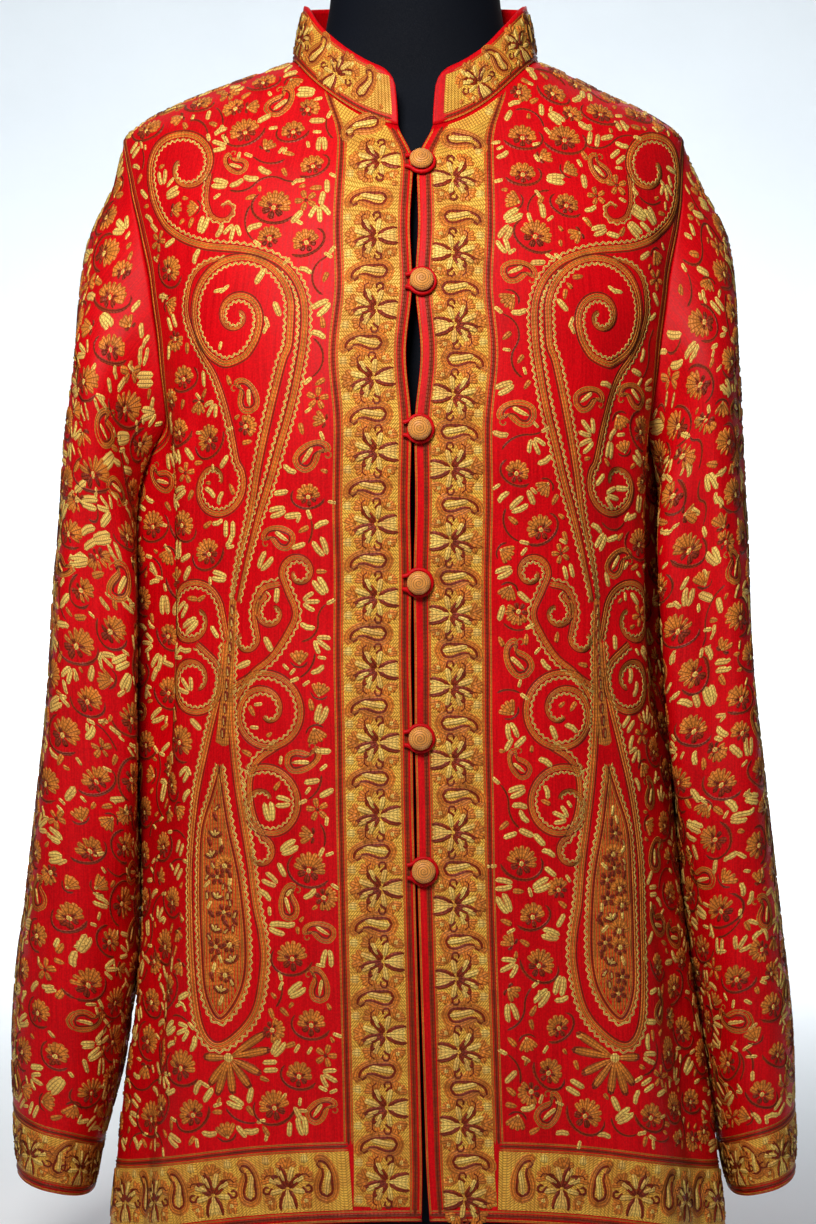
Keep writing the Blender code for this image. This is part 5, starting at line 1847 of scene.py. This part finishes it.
def button_seat(x, height):
    """The place of a button on the front, with its ways to the right, up and out."""
    side = 1 if x >= 0 else -1

    def at(px, pz):
        return body_point(turn_at(abs(px), pz), np.array(pz), side).reshape(3)

    nudge = 0.002
    here = at(x, height)
    right = unit(at(x + nudge * side, height) - here) * side
    up = unit(at(x, height + nudge) - at(x, height - nudge))
    out = unit(np.cross(right, up))
    return here, unit(np.cross(up, out)), up, out


def mesh_points(mesh):
    """The places of a mesh's vertices."""
    points = np.empty(len(mesh.vertices) * 3)
    mesh.vertices.foreach_get("co", points)
    return points.reshape(-1, 3)


class JACKET_OT_buttons(bpy.types.Operator):
    """Makes the six covered buttons"""

    bl_idname = "jacket.buttons"
    bl_label = "Buttons"

    def execute(self, context):
        sizes = context.scene.jacket_sizes
        thread = wound_button("button_thread", context.scene.jacket_colours.button)
        for index, (x, height) in enumerate(zip(BUTTON_XS, BUTTON_HEIGHTS), 1):
            here, right, up, out = button_seat(x, height)
            bpy.ops.mesh.primitive_uv_sphere_add(segments=36, ring_count=20, radius=sizes.button_radius)
            button = context.object
            button.name = f"covered_button_{index}"
            ways = np.stack([right, up, out * sizes.button_half_depth / sizes.button_radius])
            points = mesh_points(button.data) @ ways + here + out * sizes.button_lift
            button.data.vertices.foreach_set("co", points.ravel())
            button.data.shade_smooth()
            button.data.materials.append(thread)
            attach(button, "root")
            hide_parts(f"button_{index}")
        return {"FINISHED"}


class JACKET_OT_loops(bpy.types.Operator):
    """Makes the silk cord loops that hold the buttons"""

    bl_idname = "jacket.loops"
    bl_label = "Button loops"

    def execute(self, context):
        sizes = context.scene.jacket_sizes
        silk = woven_silk("loop_silk", shade(context.scene.jacket_colours.silk, 0.9))
        for index, (x, height) in enumerate(zip(BUTTON_XS, BUTTON_HEIGHTS), 1):
            here, right, up, out = button_seat(x, height)
            reach = sizes.loop_reach
            points = [(-0.0105, 0.0040), (-0.0075, 0.0046)]
            for angle in np.radians(np.arange(140, -141, -14)):
                points.append((reach * math.cos(angle), reach * math.sin(angle)))
            points += [(-0.0075, -0.0046), (-0.0105, -0.0040)]
            points = curve_through(points, 0.0012)
            lift = sizes.loop_radius + 0.0009
            path = here + points[:, :1] * right + points[:, 1:] * up + lift * out
            make_loop(f"silk_loop_{index}", path, sizes.loop_radius, silk, f"loop_{index}")
        return {"FINISHED"}


def make_loop(name, path, radius, silk, node):
    """A round cord along a path, as a mesh with its own places for the weave."""
    curve = bpy.data.curves.new(name, "CURVE")
    curve.dimensions = "3D"
    curve.bevel_depth = radius
    curve.bevel_resolution = 3
    curve.use_fill_caps = True
    spline = curve.splines.new("POLY")
    spline.points.add(len(path) - 1)
    spline.points.foreach_set("co", np.concatenate([path, np.ones((len(path), 1))], axis=1).ravel())
    loop = bpy.data.objects.new(name, curve)
    bpy.context.scene.collection.objects.link(loop)
    select_only(loop)
    bpy.ops.object.convert(target="MESH")
    loop = bpy.context.object
    layer = loop.data.uv_layers.new(name="threads")
    corners = np.empty(len(loop.data.loops), int)
    loop.data.loops.foreach_get("vertex_index", corners)
    layer.data.foreach_set("uv", mesh_points(loop.data)[corners][:, [0, 2]].ravel())
    loop.data.materials.clear()
    loop.data.materials.append(silk)
    loop.data.shade_smooth()
    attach(loop, "root")
    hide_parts(node)


class JACKET_OT_form(bpy.types.Operator):
    """Rounds the dress form and covers it in dark knit"""

    bl_idname = "jacket.form"
    bl_label = "Dress form"

    def execute(self, context):
        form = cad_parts["dress_form"].copy()
        form.data = form.data.copy()
        form.name = "covered_form"
        for key in list(form.keys()):
            del form[key]
        form.parent = None
        context.scene.collection.objects.link(form)
        select_only(form)
        bpy.ops.object.mode_set(mode="EDIT")
        bpy.ops.mesh.select_all(action="SELECT")
        bpy.ops.mesh.remove_doubles(threshold=0.00005)
        bpy.ops.mesh.tris_convert_to_quads(face_threshold=1.2, shape_threshold=1.2)
        bpy.ops.mesh.normals_make_consistent(inside=False)
        bpy.ops.object.mode_set(mode="OBJECT")
        edges = form.data.edges
        crease = form.data.attributes.new("crease_edge", "FLOAT", "EDGE")
        low = [max(form.data.vertices[v].co.z for v in e.vertices) < 0.001 for e in edges]
        crease.data.foreach_set("value", np.array(low, float))
        rounded = form.modifiers.new("rounded", "SUBSURF")
        rounded.levels = 1
        rounded.render_levels = 1
        apply_modifiers(form)
        form.data.shade_smooth()
        form.data.materials.clear()
        form.data.materials.append(dark_jersey("form_cover", context.scene.jacket_colours.jersey))
        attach(form, "root")
        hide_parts("dress_form")
        return {"FINISHED"}


def area_light(name, place, target, size, power, colour, spread=180):
    """A square soft light that faces a target."""
    data = bpy.data.lights.new(name, "AREA")
    data.size = size
    data.energy = power
    data.color = colour
    data.spread = math.radians(spread)
    light = bpy.data.objects.new(name, data)
    light.location = place
    way = Vector(target) - Vector(place)
    light.rotation_euler = way.to_track_quat("-Z", "Y").to_euler()
    light.visible_camera = False
    bpy.context.scene.collection.objects.link(light)


FLOOR_REACH = 9.0
FLOOR_BEND_START = 6.0
FLOOR_BEND_RADIUS = 2.0
CAMERA_LENS = 95.2
CAMERA_PLACE = (0.0041, -2.2, 0.449)


class JACKET_OT_stage(bpy.types.Operator):
    """Sets the floor, the lights and the camera"""

    bl_idname = "jacket.stage"
    bl_label = "Stage"

    def execute(self, context):
        scene = context.scene
        run = np.linspace(-FLOOR_REACH, FLOOR_BEND_START, 16)
        bend = np.linspace(0, QUARTER_TURN, 17)[1:]
        radius = FLOOR_BEND_RADIUS
        y = np.concatenate([run, FLOOR_BEND_START + radius * np.sin(bend), [FLOOR_BEND_START + radius] * 4])
        z = np.concatenate([run * 0, radius * (1 - np.cos(bend)), radius + np.array([0.8, 1.6, 2.4, 3.4])])
        x = np.linspace(-FLOOR_REACH, FLOOR_REACH, 13)
        grid = np.stack(np.broadcast_arrays(x[None], y[:, None], z[:, None]), axis=-1)
        faces, _, _ = grid_faces(*grid.shape[:2])
        floor = make_mesh("studio_floor", grid.reshape(-1, 3), faces)
        floor.data.materials.append(pale_floor("pale_floor", scene.jacket_colours.floor))
        world = bpy.data.worlds.new("studio_air")
        world.use_nodes = True
        background = world.node_tree.nodes["Background"]
        background.inputs["Color"].default_value = (0.86, 0.92, 1.0, 1.0)
        background.inputs["Strength"].default_value = 0.11
        scene.world = world
        area_light("key_light", (-0.30, -1.35, 1.45), (-0.03, 0.0, 0.60), 0.45, 6.6, (1.0, 0.97, 0.93), 80)
        area_light("fill_light", (1.2, -2.4, 1.3), (0.0, 0.0, 0.5), 1.4, 0.8, (0.93, 0.96, 1.0))
        area_light("back_light", (0.6, 2.2, 1.6), (0.0, 0.0, 0.5), 1.2, 9.0, (1.0, 1.0, 1.0))
        area_light("wall_light", (0.0, 4.4, 4.2), (0.0, 5.0, 0.0), 5.0, 280.0, (0.95, 0.98, 1.0), 110)
        scene.view_settings.view_transform = "Standard"
        data = bpy.data.cameras.new("view")
        data.sensor_fit = "VERTICAL"
        data.sensor_height = 36.0
        data.lens = CAMERA_LENS
        camera = bpy.data.objects.new("view", data)
        camera.location = CAMERA_PLACE
        camera.rotation_euler = (QUARTER_TURN, 0, 0)
        scene.collection.objects.link(camera)
        scene.camera = camera
        return {"FINISHED"}


OPERATORS = (
    JACKET_OT_cloth,
    JACKET_OT_front_stitches,
    JACKET_OT_back_stitches,
    JACKET_OT_sleeve_stitches,
    JACKET_OT_collar_stitches,
    JACKET_OT_buttons,
    JACKET_OT_loops,
    JACKET_OT_form,
    JACKET_OT_stage,
)


class JACKET_PT_panel(bpy.types.Panel):
    """The jacket's sizes, colours and pieces"""

    bl_idname = "JACKET_PT_panel"
    bl_label = "Silk jacket"
    bl_space_type = "VIEW_3D"
    bl_region_type = "UI"
    bl_category = "Jacket"

    def draw(self, context):
        for group in (context.scene.jacket_sizes, context.scene.jacket_colours):
            box = self.layout.box()
            for name in group.__annotations__:
                box.prop(group, name)
        for operator in OPERATORS:
            self.layout.operator(operator.bl_idname)


CLASSES = (JacketSizes, JacketColours, *OPERATORS, JACKET_PT_panel)


def register():
    """Registers the classes, and the sizes and colours on the scene."""
    for made in CLASSES:
        bpy.utils.register_class(made)
    bpy.types.Scene.jacket_sizes = bpy.props.PointerProperty(type=JacketSizes)
    bpy.types.Scene.jacket_colours = bpy.props.PointerProperty(type=JacketColours)


def unregister():
    """Removes what register added."""
    del bpy.types.Scene.jacket_colours
    del bpy.types.Scene.jacket_sizes
    for made in reversed(CLASSES):
        bpy.utils.unregister_class(made)


def main():
    """Builds every piece in order."""
    register()
    bpy.ops.jacket.cloth()
    bpy.ops.jacket.front_stitches()
    bpy.ops.jacket.back_stitches()
    bpy.ops.jacket.sleeve_stitches()
    bpy.ops.jacket.collar_stitches()
    bpy.ops.jacket.buttons()
    bpy.ops.jacket.loops()
    bpy.ops.jacket.form()
    bpy.ops.jacket.stage()


if __name__ == "__main__":
    main()
